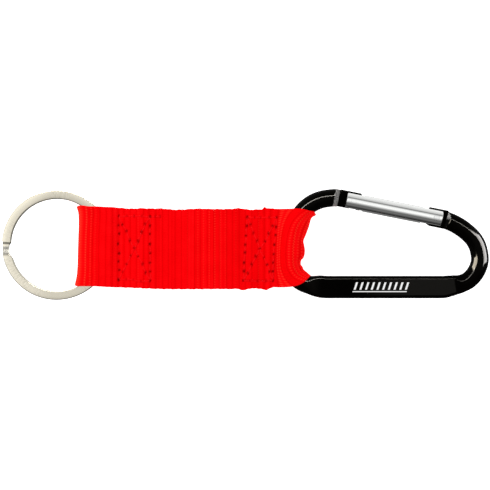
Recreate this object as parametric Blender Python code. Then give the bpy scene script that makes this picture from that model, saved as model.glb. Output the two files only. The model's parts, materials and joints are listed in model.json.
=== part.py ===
"""Carabiner keyring: a spring-gate carabiner and a split ring joined by a strip
of 25 mm webbing that is folded back and sewn down at both ends.

The object lies flat.  +X runs from the ring to the carabiner's hinge end, +Y from
the carabiner's spine to its gate, +Z up out of the flat.  The origin is the centre
of the flat back face of the carabiner's spine.  All lengths below are millimetres,
turned into metres by MM where the geometry is placed; angles are degrees.
"""
import bpy
import bmesh
from collections import namedtuple
from math import sin, cos, tan, radians, degrees, pi, sqrt, hypot, atan2
from mathutils import Matrix, Vector

MM = 0.001
GAP = 0.3                # clearance between neighbouring pieces
SHARP_ANGLE = 35         # edges steeper than this are shaded sharp

# ---- carabiner rod ----------------------------------------------------------
ROD_R = 2.75             # round section
ROD_EDGE = 0.35          # rounding of the rod's two end faces
# rounding stations: (distance from the end face, reduction of the radius)
ROD_EDGE_STEPS = ((0.0, ROD_EDGE), (ROD_EDGE * 0.3, ROD_EDGE * 0.29), (ROD_EDGE, 0.0))
CORNER_POINTS = 7        # points round each quarter of the rod's section
SPINE_HALF_W = 3.48      # half the width in the plane of the carabiner
SPINE_HALF_T = 2.0       # half the thickness
SPINE_CORNER = 1.2       # corner radius
MID_Z = SPINE_HALF_T     # height of the object's mid-plane over the spine's back face
SPINE_X0 = -19.72        # straight run, wide end
SPINE_X1 = 20.33         # straight run, hinge end
SPINE_BLEND = 4.0        # length over which the rod flattens into the spine
# bends from the spine outwards: (radius, turn)
WIDE_END = ((8.10, 88.36), (46.0, 13.64), (11.70, 89.3))
HINGE_END = ((12.06, 33.63), (9.05, 99.26), (19.3, 35.91))
# run over which the spine's width falls to the rod's
WIDE_TAPER = (-1.5, 4.0)
HINGE_TAPER = (-1.5, 7.0)
# sideways sets the bending leaves in the centre line, inward positive:
# (depth, rise start, rise length, fall start, fall length) by run from the spine
WIDE_SETS = (
    (0.34, -3.5, 5.0, 1.8, 3.4),
    (-0.30, 4.6, 3.6, 10.0, 5.0),
    (0.28, 23.0, 5.0, 38.0, 3.5),
)
HINGE_SETS = (
    (0.27, -1.0, 2.5, 2.8, 2.2),
    (-0.25, 4.5, 3.0, 14.0, 4.0),
)
WIDE_END_TAIL = 0.1      # straight rod beyond the last bend, at the latch
HINGE_TO_BEND = 0.85     # hinge pin ahead of the end of the last bend
SHOULDER_TO_PIN = 3.55   # hinge pin to the end of the round rod

# ---- tabs at both ends of the rod, distances along the gate from the hinge pin
TAB_T = 1.8
TAB_HALF_H = 2.9
TAB_NOSE = 2.7           # hinge tab's square nose ahead of the pin
CAM_R0 = 2.9             # hinge cam, radius where the closed gate's plunger bears
CAM_RISE = 0.03          # mm of rise per degree of gate opening
CAM_FROM, CAM_TO = -25, 36   # cam's angles from the gate towards the spine
CAM_STEPS = 13
LATCH_HALF_H = 2.45      # latch tab's half height on the spine side
LATCH_ROD_END = 31.0     # where the latch tab leaves the rod

# ---- gate, distances from the hinge pin -------------------------------------
GATE_SLOPE = 11.2        # slope against the spine
GATE_R = 2.6
GATE_NOSE = 28.5
GATE_TAIL = 1.9
SLOT_T = TAB_T + 2 * GAP
HINGE_SLOT_DEPTH = 4.6
LATCH_SLOT_START = 22.95
SLOT_OVERRUN = 2.0       # slot tools run past the gate's ends
TOOL_HALF = 4.0          # half length of the tools that cut across the gate
BORE_R = 1.75
BORE_START, BORE_END = 2.0, 17.0
PIN_CHAMFER = 0.15
RIVET_R = 0.9
RIVET_RECESS = 0.02      # rivet's ends below the gate's surface
LATCH_PIN_R = 0.75
LATCH_PIN_RECESS = 0.06
LATCH_PIN_AT = 26.2
PIN_SEGMENTS = 24
PLUNGER_GAP = 0.5        # plunger's tip off the cam
PLUNGER_R = 1.45
PLUNGER_BACK = 7.6
PLUNGER_CHAMFER = 0.2
SPRING_R = 1.2
SPRING_WIRE_R = 0.18
SPRING_TURNS = 9
SPRING_END_GAP = 0.15    # spring's ends off the plunger and the bore's bottom
SPRING_END_RISE = 0.21   # rise over the half turn that closes each end
SPRING_STEPS_PER_TURN = 18

# ---- webbing ----------------------------------------------------------------
WEB_T = 1.1              # thickness of one layer
WEB_HALF_W = 12.5
WEB_Y = 12.2             # strap's centre line at the carabiner
WEB_DRIFT = 0.0215       # sideways drift of the strap per mm towards the ring
WEB_DRIFT_FROM = -50.0
SWING_X = -27.8          # axis of the wide end's rod, where the strap swings
BEND_X = -56.6           # bend line in the middle of the strap
BEND_GAP = 0.2           # each half of the strap off the bend line
RING_SWING_X = -81.9     # bend line between the ring's loop and the seam
RING_SWING_GAP = 0.18    # strap and loop off that line
WEDGE_ANGLE = 30.0       # slope of the strap's end at that line
CARABINER_TAIL_X = -44.4     # ends of the turned-back webbing
RING_TAIL_X = -69.4
SLEEVE_INNER_R = 3.0     # loop round the carabiner's rod
SLEEVE_OUTER_R = SLEEVE_INNER_R + WEB_T
SLEEVE_FROM = 34.0       # turned since the first bend's start
SLEEVE_TO = 45.0         # left to turn before the last bend's end
SLEEVE_SEGMENTS = 24
RING_LOOP_OUTER_R = 2.7  # loop round the ring, at its fold
RING_LOOP_INNER_R = RING_LOOP_OUTER_R - WEB_T
RING_LOOP_FOLD_X = -92.4
RING_LOOP_STEPS = 12
CARABINER_SEAM = (-42.3, -33.2)  # seam boxes, x range
RING_SEAM = (-80.3, -71.3)
SEAM_HALF_H = 9.9
THREAD_HALF_W = 0.25
THREAD_T = 0.35
THREAD_SINK = 0.2        # thread's depth below the webbing's face
GROOVE_OVERRUN = 1.0     # groove tool's height above the webbing's face

# ---- split ring -------------------------------------------------------------
RING_X, RING_Y = -100.94, 13.11
RING_MEAN_R = 15.74
RING_WIRE_HALF_W = 1.33
RING_WIRE_CORNER = 0.28
RING_COIL_T = 1.2
RING_COIL_PITCH = 1.3
RING_LOWER_START = -164.0
RING_JOG = (179.0, 194.0)    # angles between which the wire climbs one pitch
RING_UPPER_END = 536.4
RING_STEP = 6.5

for old_object in list(bpy.data.objects):
    bpy.data.objects.remove(old_object, do_unlink=True)


# ---- materials --------------------------------------------------------------
def material(name, color, roughness, metallic):
    mat = bpy.data.materials.new(name)
    mat.use_nodes = True
    inputs = mat.node_tree.nodes["Principled BSDF"].inputs
    inputs["Base Color"].default_value = (*color, 1.0)
    inputs["Roughness"].default_value = roughness
    inputs["Metallic"].default_value = metallic
    mat.diffuse_color = (*color, 1.0)
    return mat


BLACK = material("black_gloss", color=(0.012, 0.012, 0.012), roughness=0.12, metallic=0.0)
SATIN = material("satin_silver", color=(0.62, 0.63, 0.63), roughness=0.28, metallic=1.0)
STEEL = material("rivet_steel", color=(0.45, 0.45, 0.46), roughness=0.35, metallic=1.0)
SPRING_STEEL = material("spring_steel", color=(0.4, 0.4, 0.42), roughness=0.3, metallic=1.0)
NICKEL = material("nickel_ring", color=(0.72, 0.70, 0.66), roughness=0.12, metallic=1.0)
RED_WEB = material("red_webbing", color=(0.80, 0.0, 0.008), roughness=0.75, metallic=0.0)
RED_THREAD = material("red_thread", color=(0.62, 0.0, 0.006), roughness=0.6, metallic=0.0)


# ---- objects ----------------------------------------------------------------
def empty(name, location, turn=0.0):
    axis = bpy.data.objects.new(name, None)
    axis.location = Vector(location) * MM
    axis.rotation_euler = (0.0, 0.0, radians(turn))
    bpy.context.scene.collection.objects.link(axis)
    return axis


def finish(name, shape, mat=None, parent=None, smooth=True, cutter=False):
    """Closes a bmesh in millimetres into an object in metres."""
    bmesh.ops.scale(shape, vec=(MM, MM, MM), verts=shape.verts)
    bmesh.ops.recalc_face_normals(shape, faces=shape.faces)
    if shape.calc_volume(signed=True) < 0:
        bmesh.ops.reverse_faces(shape, faces=shape.faces)
    mesh = bpy.data.meshes.new(name)
    shape.to_mesh(mesh)
    shape.free()
    if mat:
        mesh.materials.append(mat)
    if smooth:
        mesh.shade_smooth()
        mesh.set_sharp_from_angle(angle=radians(SHARP_ANGLE))
    obj = bpy.data.objects.new(name, mesh)
    bpy.context.scene.collection.objects.link(obj)
    if parent:
        obj.parent = parent
    if cutter:
        obj.hide_render = True
        obj.display_type = "WIRE"
    return obj


def boolean(obj, tool, operation="DIFFERENCE"):
    modifier = obj.modifiers.new(operation.lower() + "_" + tool.name, "BOOLEAN")
    modifier.operation = operation
    modifier.solver = "EXACT"
    modifier.object = tool


# ---- shapes -----------------------------------------------------------------
def add_loop(shape, points):
    return [shape.verts.new(point) for point in points]


def bridge(shape, first, second):
    """Joins two equal vertex loops by a band of quads."""
    for i in range(len(first)):
        j = (i + 1) % len(first)
        shape.faces.new((first[i], first[j], second[j], second[i]))


def skin(shape, rings):
    """Skins a list of equal point rings and leaves the ends open."""
    loops = [add_loop(shape, ring) for ring in rings]
    for first, second in zip(loops, loops[1:]):
        bridge(shape, first, second)
    return loops


def loft(name, rings, mat=None, parent=None, cutter=False):
    """A solid skinned over point rings, with flat ends."""
    shape = bmesh.new()
    loops = skin(shape, rings)
    shape.faces.new(list(reversed(loops[0])))
    shape.faces.new(loops[-1])
    return finish(name, shape, mat, parent, cutter=cutter)


def extrude_up(shape, height):
    """Thickens flat faces along Z."""
    extruded = bmesh.ops.extrude_face_region(shape, geom=list(shape.faces))
    top = [item for item in extruded["geom"] if isinstance(item, bmesh.types.BMVert)]
    bmesh.ops.translate(shape, vec=(0, 0, height), verts=top)


def plate(name, outline, thickness, mat=None, parent=None, smooth=True):
    """A tool extruded from a closed outline in x, y, centred on z = 0."""
    shape = bmesh.new()
    shape.faces.new(add_loop(shape, [(x, y, -thickness / 2) for x, y in outline]))
    extrude_up(shape, thickness)
    return finish(name, shape, mat, parent, smooth, cutter=True)


def circle(radius, count):
    angles = [2 * pi * i / count for i in range(count)]
    return [(radius * cos(a), radius * sin(a)) for a in angles]


def turned_x(name, profile, segments, mat=None, parent=None, cutter=False):
    """Turns (x, radius) pairs about X."""
    rings = [[(x, y, z) for y, z in circle(radius, segments)] for x, radius in profile]
    return loft(name, rings, mat, parent, cutter)


def turned_z(name, profile, x_at=0.0, mat=None, parent=None, cutter=False):
    """Turns (z, radius) pairs about a line along Z at x_at."""
    rings = [[(x_at + x, y, z) for x, y in circle(radius, PIN_SEGMENTS)]
             for z, radius in profile]
    return loft(name, rings, mat, parent, cutter)


def section(half_w, half_h, corner, per_corner=CORNER_POINTS):
    """Rounded rectangle; a circle if both half sizes equal the corner radius."""
    points = []
    for quarter in range(4):
        x = (half_w - corner) * (1 if quarter in (0, 3) else -1)
        y = (half_h - corner) * (1 if quarter in (0, 1) else -1)
        for i in range(per_corner):
            angle = radians(90 * quarter + 90 * (i + 0.5) / per_corner)
            points.append((x + corner * cos(angle), y + corner * sin(angle)))
    return points


def smooth01(t):
    t = min(1.0, max(0.0, t))
    return t * t * (3 - 2 * t)


# ---- carabiner centre line --------------------------------------------------
def bends(start_x, heading, side, segments, step=7.0):
    """Stations (x, y, heading, run) along tangent arcs; side +1 turns left."""
    x, y, run = start_x, 0.0, 0.0
    stations = [(x, y, heading, run)]
    for radius, turn in segments:
        center_x = x - side * radius * sin(radians(heading))
        center_y = y + side * radius * cos(radians(heading))
        count = max(2, round(turn / step))
        for i in range(1, count + 1):
            turned = heading + side * turn * i / count
            stations.append((center_x + side * radius * sin(radians(turned)),
                             center_y - side * radius * cos(radians(turned)),
                             turned,
                             run + radius * radians(turn) * i / count))
        x, y, heading, run = stations[-1]
    return stations


def set_depth(run, sets):
    return sum(depth * smooth01((run - rise) / rise_length)
               * (1 - smooth01((run - fall) / fall_length))
               for depth, rise, rise_length, fall, fall_length in sets)


def with_sets(path, side, sets):
    """Moves a centre line's stations sideways by the bends' sets."""
    probe = 0.05
    moved = []
    for x, y, heading, run in path:
        push = side * set_depth(run, sets)
        slope = (set_depth(run + probe, sets) - set_depth(run - probe, sets)) / (2 * probe)
        moved.append((x - push * sin(radians(heading)),
                      y + push * cos(radians(heading)),
                      heading + side * degrees(atan2(slope, 1.0)),
                      run))
    return moved


def wide_path(step=7.0):
    return with_sets(bends(SPINE_X0, 180.0, -1, WIDE_END, step), -1, WIDE_SETS)


HINGE_PATH = with_sets(bends(SPINE_X1, 0.0, +1, HINGE_END), +1, HINGE_SETS)
TO_NOSE = Vector((-cos(radians(GATE_SLOPE)), sin(radians(GATE_SLOPE))))
PIN = Vector(HINGE_PATH[-1][:2]) + TO_NOSE * HINGE_TO_BEND
GATE_TURN = 180 - GATE_SLOPE


# ---- carabiner body ---------------------------------------------------------
def place_section(points, x, y, heading):
    """Stands a section across the heading, on the mid-plane."""
    across_x, across_y = -sin(radians(heading)), cos(radians(heading))
    return [(x + p * across_x, y + p * across_y, MID_Z + q) for p, q in points]


def rod_ring(x, y, heading, flat, broad):
    """Flat sets the thickness and broad the width, from 0, the rod, to 1, the spine."""
    half_w = ROD_R + (SPINE_HALF_W - ROD_R) * broad
    half_t = ROD_R + (SPINE_HALF_T - ROD_R) * flat
    corner = ROD_R + (SPINE_CORNER - ROD_R) * flat
    # the corners' last points stop short of the full thickness by this much
    shortfall = corner * (1 - sin(radians(90 * (CORNER_POINTS - 0.5) / CORNER_POINTS)))
    return place_section(section(half_w, half_t + shortfall * flat, corner), x, y, heading)


def end_ring(x, y, heading, shrink):
    radius = ROD_R - shrink
    return place_section(section(radius, radius, radius), x, y, heading)


def taper(run, span):
    return 1 - smooth01((run - span[0]) / (span[1] - span[0]))


def wide_end_rings():
    """From the latch to the spine."""
    path = wide_path()
    x, y, heading, length = path[-1]
    along_x, along_y = cos(radians(heading)), sin(radians(heading))
    rings = []
    for back, shrink in ROD_EDGE_STEPS:
        ahead = WIDE_END_TAIL - back
        rings.append(end_ring(x + ahead * along_x, y + ahead * along_y, heading + 180, shrink))
    for x, y, heading, run in reversed(path):
        if run <= length - 0.2:      # the rounded end takes the last station's place
            rings.append(rod_ring(x, y, heading + 180, taper(run, (0.5, 0.5 + SPINE_BLEND)),
                                  taper(run, WIDE_TAPER)))
    return rings


def spine_rings():
    """Stations inside the spine, by run (negative) short of its two ends."""
    rings = [rod_ring(SPINE_X0 - run, set_depth(run, WIDE_SETS), 0.0, 1.0,
                      taper(run, WIDE_TAPER)) for run in (-1.2, -2.4, -3.6)]
    rings += [rod_ring(SPINE_X1 + run, set_depth(run, HINGE_SETS), 0.0, 1.0,
                       taper(run, HINGE_TAPER)) for run in (-1.6, -0.8)]
    return rings


def hinge_end_rings():
    """From the spine to the shoulder behind the hinge tab."""
    last_x, last_y, last_heading, length = HINGE_PATH[-1]
    end = length - (SHOULDER_TO_PIN - HINGE_TO_BEND)
    rings = [rod_ring(x, y, heading, taper(run, (0.0, SPINE_BLEND)), taper(run, HINGE_TAPER))
             for x, y, heading, run in HINGE_PATH if run < end - ROD_EDGE - 0.3]
    radius = HINGE_END[-1][0]
    center_x = last_x - radius * sin(radians(last_heading))
    center_y = last_y + radius * cos(radians(last_heading))
    for back, shrink in reversed(ROD_EDGE_STEPS):
        heading = last_heading - degrees((length - end + back) / radius)
        rings.append(end_ring(center_x + radius * sin(radians(heading)),
                              center_y - radius * cos(radians(heading)), heading, shrink))
    return rings


def hinge_tab_outline():
    """A square-nosed tab whose end is the cam that the gate's plunger rides on.

    Both tab outlines are (along the gate from the pin, towards the spine).
    """
    half_h = TAB_HALF_H
    shoulder = -SHOULDER_TO_PIN
    cam = []
    for i in range(CAM_STEPS + 1):
        angle = CAM_FROM + (CAM_TO - CAM_FROM) * i / CAM_STEPS
        radius = CAM_R0 + CAM_RISE * angle
        cam.append((radius * cos(radians(angle)), radius * sin(radians(angle))))
    return [
        (-5.6, -1.3), (shoulder - 0.1, -2.5), (shoulder + 0.25, -half_h),
        (TAB_NOSE - 0.3, -half_h), (TAB_NOSE, -half_h + 0.3),
        *cam,
        (TAB_NOSE + 0.35, half_h - 0.15), (TAB_NOSE, half_h),
        (shoulder + 0.25, half_h), (shoulder - 0.1, 2.5), (-5.6, 2.3),
    ]


def latch_tab_outline():
    """The hook that holds the latch pin; the pin leaves it towards the spine."""
    low, rod_end = LATCH_HALF_H, LATCH_ROD_END
    pin_room = LATCH_PIN_R + GAP
    inner_r = LATCH_PIN_AT - LATCH_PIN_R - GAP
    outer_r = LATCH_PIN_AT + LATCH_PIN_R + GAP
    hook_r = inner_r - 0.5

    def arc(radius, y0, y1, steps):
        """Arc about the hinge pin, from height y0 to y1."""
        heights = [y0 + (y1 - y0) * i / steps for i in range(steps + 1)]
        return [(sqrt(radius * radius - y * y), y) for y in heights]

    return [
        (32.4, 1.6), (rod_end + 0.1, 2.3), (rod_end - 0.2, low),
        *arc(outer_r, low, -pin_room + 0.5, 5),
        (LATCH_PIN_AT + 0.65, -pin_room + 0.06), (LATCH_PIN_AT + 0.2, -pin_room),
        (hook_r + 0.5, -pin_room), (hook_r + 0.12, -pin_room + 0.15),
        *arc(hook_r, -pin_room + 0.5, 0.4, 2),
        *arc(inner_r, 0.8, low, 3),
        (23.9, low), (23.4, low - 0.6), (23.4, -1.9), (24.4, -TAB_HALF_H),
        (rod_end - 0.2, -TAB_HALF_H), (rod_end + 0.1, -2.6), (32.4, -1.2),
    ]


def carabiner_body():
    body = loft("carabiner_body", wide_end_rings() + spine_rings() + hinge_end_rings(), BLACK)
    # gate coordinates: x along the gate, y towards the spine
    place = (Matrix.Translation(Vector((PIN.x, PIN.y, MID_Z)) * MM)
             @ Matrix.Rotation(radians(GATE_TURN), 4, "Z"))
    for name, outline in (("hinge_tab_tool", hinge_tab_outline()),
                          ("latch_tab_tool", latch_tab_outline())):
        tab = plate(name, outline, TAB_T, BLACK)
        tab.matrix_world = place
        boolean(body, tab, "UNION")
    hole = turned_z("hinge_hole_tool", ((-3, RIVET_R + GAP), (3, RIVET_R + GAP)), cutter=True)
    hole.matrix_world = place
    boolean(body, hole)


carabiner_body()

# ---- gate and what it carries -----------------------------------------------
pivot = empty("gate_pivot", (PIN.x, PIN.y, MID_Z), GATE_TURN)


def slot_tool(name, x0, x1):
    outline = ((x0, -TOOL_HALF), (x1, -TOOL_HALF), (x1, TOOL_HALF), (x0, TOOL_HALF))
    return plate(name, outline, SLOT_T, parent=pivot, smooth=False)


def gate():
    profile = (
        (-GATE_TAIL, GATE_R - 0.3), (-GATE_TAIL + 0.1, GATE_R - 0.09),
        (-GATE_TAIL + 0.3, GATE_R), (GATE_NOSE - 0.3, GATE_R),
        (GATE_NOSE - 0.1, GATE_R - 0.09), (GATE_NOSE, GATE_R - 0.3),
    )
    body = turned_x("gate", profile, 36, SATIN, pivot)
    boolean(body, turned_x("gate_bore_tool", ((BORE_START, BORE_R), (BORE_END, BORE_R)), 28,
                           parent=pivot, cutter=True))
    boolean(body, slot_tool("hinge_slot_tool", -GATE_TAIL - SLOT_OVERRUN, HINGE_SLOT_DEPTH))
    boolean(body, slot_tool("latch_slot_tool", LATCH_SLOT_START, GATE_NOSE + SLOT_OVERRUN))
    for name, x_at, radius in (("rivet_hole_tool", 0.0, RIVET_R + GAP),
                               ("latch_hole_tool", LATCH_PIN_AT, LATCH_PIN_R + GAP)):
        boolean(body, turned_z(name, ((-TOOL_HALF, radius), (TOOL_HALF, radius)), x_at,
                               parent=pivot, cutter=True))


def cross_pin(name, x_at, radius, half_length):
    inner = half_length - PIN_CHAMFER
    profile = ((-half_length, radius - PIN_CHAMFER), (-inner, radius),
               (inner, radius), (half_length, radius - PIN_CHAMFER))
    turned_z(name, profile, x_at, STEEL, pivot)


def spring_plunger():
    """A pin with a domed tip towards the hinge cam."""
    tip = CAM_R0 + PLUNGER_GAP
    angles = [radians(15 * i) for i in range(1, 7)]
    profile = [(tip + PLUNGER_R * (1 - cos(a)), PLUNGER_R * sin(a)) for a in angles]
    profile += [(PLUNGER_BACK - PLUNGER_CHAMFER, PLUNGER_R),
                (PLUNGER_BACK, PLUNGER_R - PLUNGER_CHAMFER)]
    turned_x("spring_plunger", profile, 24, STEEL, pivot)


def gate_spring():
    """A coil along the gate; a half turn at each end is wound closed."""
    x_start = PLUNGER_BACK + SPRING_END_GAP + SPRING_WIRE_R
    x_end = BORE_END - SPRING_END_GAP - SPRING_WIRE_R
    open_length = x_end - x_start - 2 * SPRING_END_RISE
    closed = 0.5 / SPRING_TURNS      # share of the wire in each closed end
    count = SPRING_TURNS * SPRING_STEPS_PER_TURN
    rings = []
    for i in range(count + 1):
        share = i / count
        angle = 2 * pi * SPRING_TURNS * share
        open_share = min(1.0, max(0.0, (share - closed) / (1 - 2 * closed)))
        x = (x_start + SPRING_END_RISE * min(share / closed, 1.0)
             + open_length * open_share
             + SPRING_END_RISE * max(0.0, (share - 1 + closed) / closed))
        rings.append([(x + along, (SPRING_R + out) * cos(angle), (SPRING_R + out) * sin(angle))
                      for out, along in circle(SPRING_WIRE_R, 6)])
    loft("gate_spring", rings, SPRING_STEEL, pivot)


gate()
cross_pin("hinge_rivet", 0.0, RIVET_R, GATE_R - RIVET_RECESS)
cross_pin("latch_pin", LATCH_PIN_AT, LATCH_PIN_R, GATE_R - LATCH_PIN_RECESS)
spring_plunger()
gate_spring()

# ---- webbing ----------------------------------------------------------------
# a line across the strap that pieces swing about: its empty and its x and z
StrapAxis = namedtuple("StrapAxis", "empty x z")


def strap_axis(name, x, z):
    return StrapAxis(empty(name, (x, 0, z)), x, z)


def strap_y(x):
    return WEB_Y + WEB_DRIFT * max(0.0, WEB_DRIFT_FROM - x)


def web_side(outline, side, axis):
    """An x, z outline on one edge of the strap, side -1 or +1 in y."""
    return [(x - axis.x, strap_y(x) + side * WEB_HALF_W, z + MID_Z - axis.z)
            for x, z in outline]


def seam_lattice(name, seam, z0, z1, half_w, mat, axis, cutter=False):
    """A box seam with its two diagonals, as one flat solid."""
    center_x = sum(seam) / 2
    center_y = strap_y(center_x)
    half_x, half_y = (seam[1] - seam[0]) / 2, SEAM_HALF_H
    diagonal = hypot(half_x, half_y)
    # where the diagonals' edges cross on the two centre lines
    cross_x = half_w * diagonal / half_y
    cross_y = half_w * diagonal / half_x
    # the box's inner edges, and where the diagonals' edges meet them
    inner_x, inner_y = half_x - half_w, half_y - half_w
    meet_x = (inner_y - cross_y) * half_x / half_y
    meet_y = (inner_x - cross_x) * half_y / half_x
    outer_x, outer_y = half_x + half_w, half_y + half_w
    loops = [[(-outer_x, -outer_y), (outer_x, -outer_y), (outer_x, outer_y), (-outer_x, outer_y)]]
    for opening in ([(0, cross_y), (meet_x, inner_y), (-meet_x, inner_y)],
                    [(cross_x, 0), (inner_x, -meet_y), (inner_x, meet_y)]):
        loops += [opening, [(-x, -y) for x, y in opening]]
    shape = bmesh.new()
    edges = []
    for loop in loops:
        verts = add_loop(shape, [(center_x + x - axis.x, center_y + y, z0 + MID_Z - axis.z)
                                 for x, y in loop])
        edges += [shape.edges.new((verts[i], verts[(i + 1) % len(verts)]))
                  for i in range(len(verts))]
    bmesh.ops.triangle_fill(shape, use_beauty=True, use_dissolve=False, edges=edges)
    extrude_up(shape, z1 - z0)
    return finish(name, shape, mat, axis.empty, smooth=False, cutter=cutter)


def sew(block, tag, seam, axis):
    """Sinks both threads of a box seam into the webbing's two faces."""
    bottom = WEB_T - THREAD_SINK
    for side, word in ((1, "needle"), (-1, "bobbin")):
        z0, z1 = sorted((side * bottom, side * (bottom + THREAD_T)))
        seam_lattice(f"{word}_thread_{tag}", seam, z0, z1, THREAD_HALF_W, RED_THREAD, axis)
        z0, z1 = sorted((side * (bottom - GAP), side * (WEB_T + GROOVE_OVERRUN)))
        boolean(block, seam_lattice(f"seam_groove_{word}_{tag}_tool", seam, z0, z1,
                                    THREAD_HALF_W + GAP, None, axis, cutter=True))


def sewn_block(name, outline, tag, seam, axis):
    """A stretch of the strap, two layers thick at its seam."""
    rings = [web_side(outline, side, axis) for side in (-1, 1)]
    sew(loft(name, rings, RED_WEB, axis.empty), tag, seam, axis)


def carabiner_loop():
    """Sleeve round the carabiner's wide end, following the rod's bends."""
    path = wide_path(step=5.5)
    first = WIDE_END[0][0] * radians(SLEEVE_FROM)
    last = path[-1][3] - WIDE_END[-1][0] * radians(SLEEVE_TO)
    stations = [station for station in path if first <= station[3] <= last]
    shape = bmesh.new()
    outer, inner = [
        skin(shape, [place_section(circle(radius, SLEEVE_SEGMENTS), x, y, heading)
                     for x, y, heading, run in stations])
        for radius in (SLEEVE_OUTER_R, SLEEVE_INNER_R)]
    for end in (0, -1):
        bridge(shape, outer[end], inner[end])
    finish("webbing_carabiner_loop", shape, RED_WEB)


def carabiner_end(axis):
    """From the bend line to the sleeve; the turned-back layer lies underneath."""
    tip = BEND_X + BEND_GAP
    sleeve = SWING_X - SLEEVE_OUTER_R - GAP
    outline = [
        (tip, WEB_T / 2), (tip + WEB_T / 2, 0.0), (CARABINER_TAIL_X, 0.0),
        (CARABINER_TAIL_X, -WEB_T), (sleeve, -WEB_T), (sleeve, WEB_T), (tip + WEB_T / 2, WEB_T),
    ]
    sewn_block("webbing_carabiner_end", outline, "carabiner_end", CARABINER_SEAM, axis)


def ring_end(axis):
    """From the ring's loop to the bend line; the turned-back layer lies underneath."""
    ring_tip = RING_SWING_X + RING_SWING_GAP
    wedge = ring_tip + WEB_T * tan(radians(WEDGE_ANGLE))
    tip = BEND_X - BEND_GAP
    outline = [
        (ring_tip, 0.0), (wedge, -WEB_T), (RING_TAIL_X, -WEB_T), (RING_TAIL_X, 0.0),
        (tip - WEB_T / 2, 0.0), (tip, WEB_T / 2), (tip - WEB_T / 2, WEB_T), (wedge, WEB_T),
    ]
    sewn_block("webbing_ring_end", outline, "ring_end", RING_SEAM, axis)


def ring_loop(axis):
    """Flattened loop with a pocket that the ring's arc runs through."""
    def fold(radius):
        angles = [radians(90 + 180 * i / RING_LOOP_STEPS) for i in range(RING_LOOP_STEPS + 1)]
        return [(RING_LOOP_FOLD_X + radius * cos(a), radius * sin(a)) for a in angles]

    outer_r, inner_r = RING_LOOP_OUTER_R, RING_LOOP_INNER_R
    # (x, z) points that close the fold on the strap's side
    outer = fold(outer_r) + [(-85.0, -outer_r), (-83.45, -2.0),
                             (RING_SWING_X - RING_SWING_GAP, 0.0),
                             (-83.45, 2.0), (-85.0, outer_r)]
    inner = fold(inner_r) + [(-84.1, -inner_r), (-83.5, -1.1), (-83.5, 0.0),
                             (-83.5, 1.1), (-84.1, inner_r)]
    shape = bmesh.new()
    sides = [[add_loop(shape, web_side(outline, side, axis)) for outline in (outer, inner)]
             for side in (-1, 1)]
    for first, second in zip(*sides):
        bridge(shape, first, second)
    for outer_loop, inner_loop in sides:
        bridge(shape, outer_loop, inner_loop)
    finish("webbing_ring_loop", shape, RED_WEB, axis.empty)


swing_axis = strap_axis("strap_swing_axis", SWING_X, MID_Z)
bend_axis = strap_axis("strap_bend_axis", BEND_X, MID_Z + WEB_T / 2)
ring_axis = strap_axis("ring_swing_axis", RING_SWING_X, MID_Z)
carabiner_loop()
carabiner_end(swing_axis)
ring_end(bend_axis)
ring_loop(ring_axis)


# ---- split ring -------------------------------------------------------------
def split_ring():
    """Nearly two coils of flat wire, the second one pitch above the first."""
    sweep = RING_UPPER_END - RING_LOWER_START
    count = round(sweep / RING_STEP)
    wire = section(RING_WIRE_HALF_W, RING_COIL_T / 2, RING_WIRE_CORNER, per_corner=3)
    rings = []
    for i in range(count + 1):
        angle = RING_LOWER_START + sweep * i / count
        climbed = smooth01((angle - RING_JOG[0]) / (RING_JOG[1] - RING_JOG[0]))
        z = (climbed - 0.5) * RING_COIL_PITCH
        along_x, along_y = cos(radians(angle)), sin(radians(angle))
        rings.append([((RING_MEAN_R + out) * along_x, (RING_MEAN_R + out) * along_y, z + up)
                      for out, up in wire])
    loft("split_ring", rings, NICKEL, empty("ring_spin_axis", (RING_X, RING_Y, MID_Z)))


split_ring()
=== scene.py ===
"""A carabiner keyring: a carabiner, a sewn red strap and a split ring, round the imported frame.

Lengths are in millimetres, turned into metres by MM, except in the studio section.
+X runs from the ring to the carabiner's hinge end, +Y from the spine to the gate and
+Z out of the flat.  The origin is on the spine's back face, the lower one.
"""
import bpy
import bmesh
import json
import numpy as np
from math import sin, cos, radians, pi, sqrt, atan2
from mathutils import Matrix, Vector

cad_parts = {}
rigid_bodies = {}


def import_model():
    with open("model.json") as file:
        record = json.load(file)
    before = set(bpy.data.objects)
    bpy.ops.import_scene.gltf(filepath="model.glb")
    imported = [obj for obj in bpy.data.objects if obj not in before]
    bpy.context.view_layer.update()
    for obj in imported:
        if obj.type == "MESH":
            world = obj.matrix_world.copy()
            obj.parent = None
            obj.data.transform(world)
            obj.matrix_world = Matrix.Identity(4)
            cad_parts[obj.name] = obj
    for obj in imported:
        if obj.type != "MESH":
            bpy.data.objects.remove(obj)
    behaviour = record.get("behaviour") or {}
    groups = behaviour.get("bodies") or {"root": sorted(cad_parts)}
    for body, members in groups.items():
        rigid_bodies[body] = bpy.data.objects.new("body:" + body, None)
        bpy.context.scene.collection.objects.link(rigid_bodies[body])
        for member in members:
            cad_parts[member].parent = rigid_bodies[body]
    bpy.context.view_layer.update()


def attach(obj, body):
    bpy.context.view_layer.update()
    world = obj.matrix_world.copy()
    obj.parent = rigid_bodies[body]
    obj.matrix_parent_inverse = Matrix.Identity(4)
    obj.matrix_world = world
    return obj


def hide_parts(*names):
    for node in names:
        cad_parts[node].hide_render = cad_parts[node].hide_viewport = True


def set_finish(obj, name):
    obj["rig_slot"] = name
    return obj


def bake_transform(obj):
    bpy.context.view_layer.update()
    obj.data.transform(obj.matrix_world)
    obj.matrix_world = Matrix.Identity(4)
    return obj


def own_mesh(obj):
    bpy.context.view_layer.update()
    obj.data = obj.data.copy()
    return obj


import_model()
MM = 0.001
MID_Z = 2.0                      # middle of every piece's thickness
COLL = bpy.context.scene.collection

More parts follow.
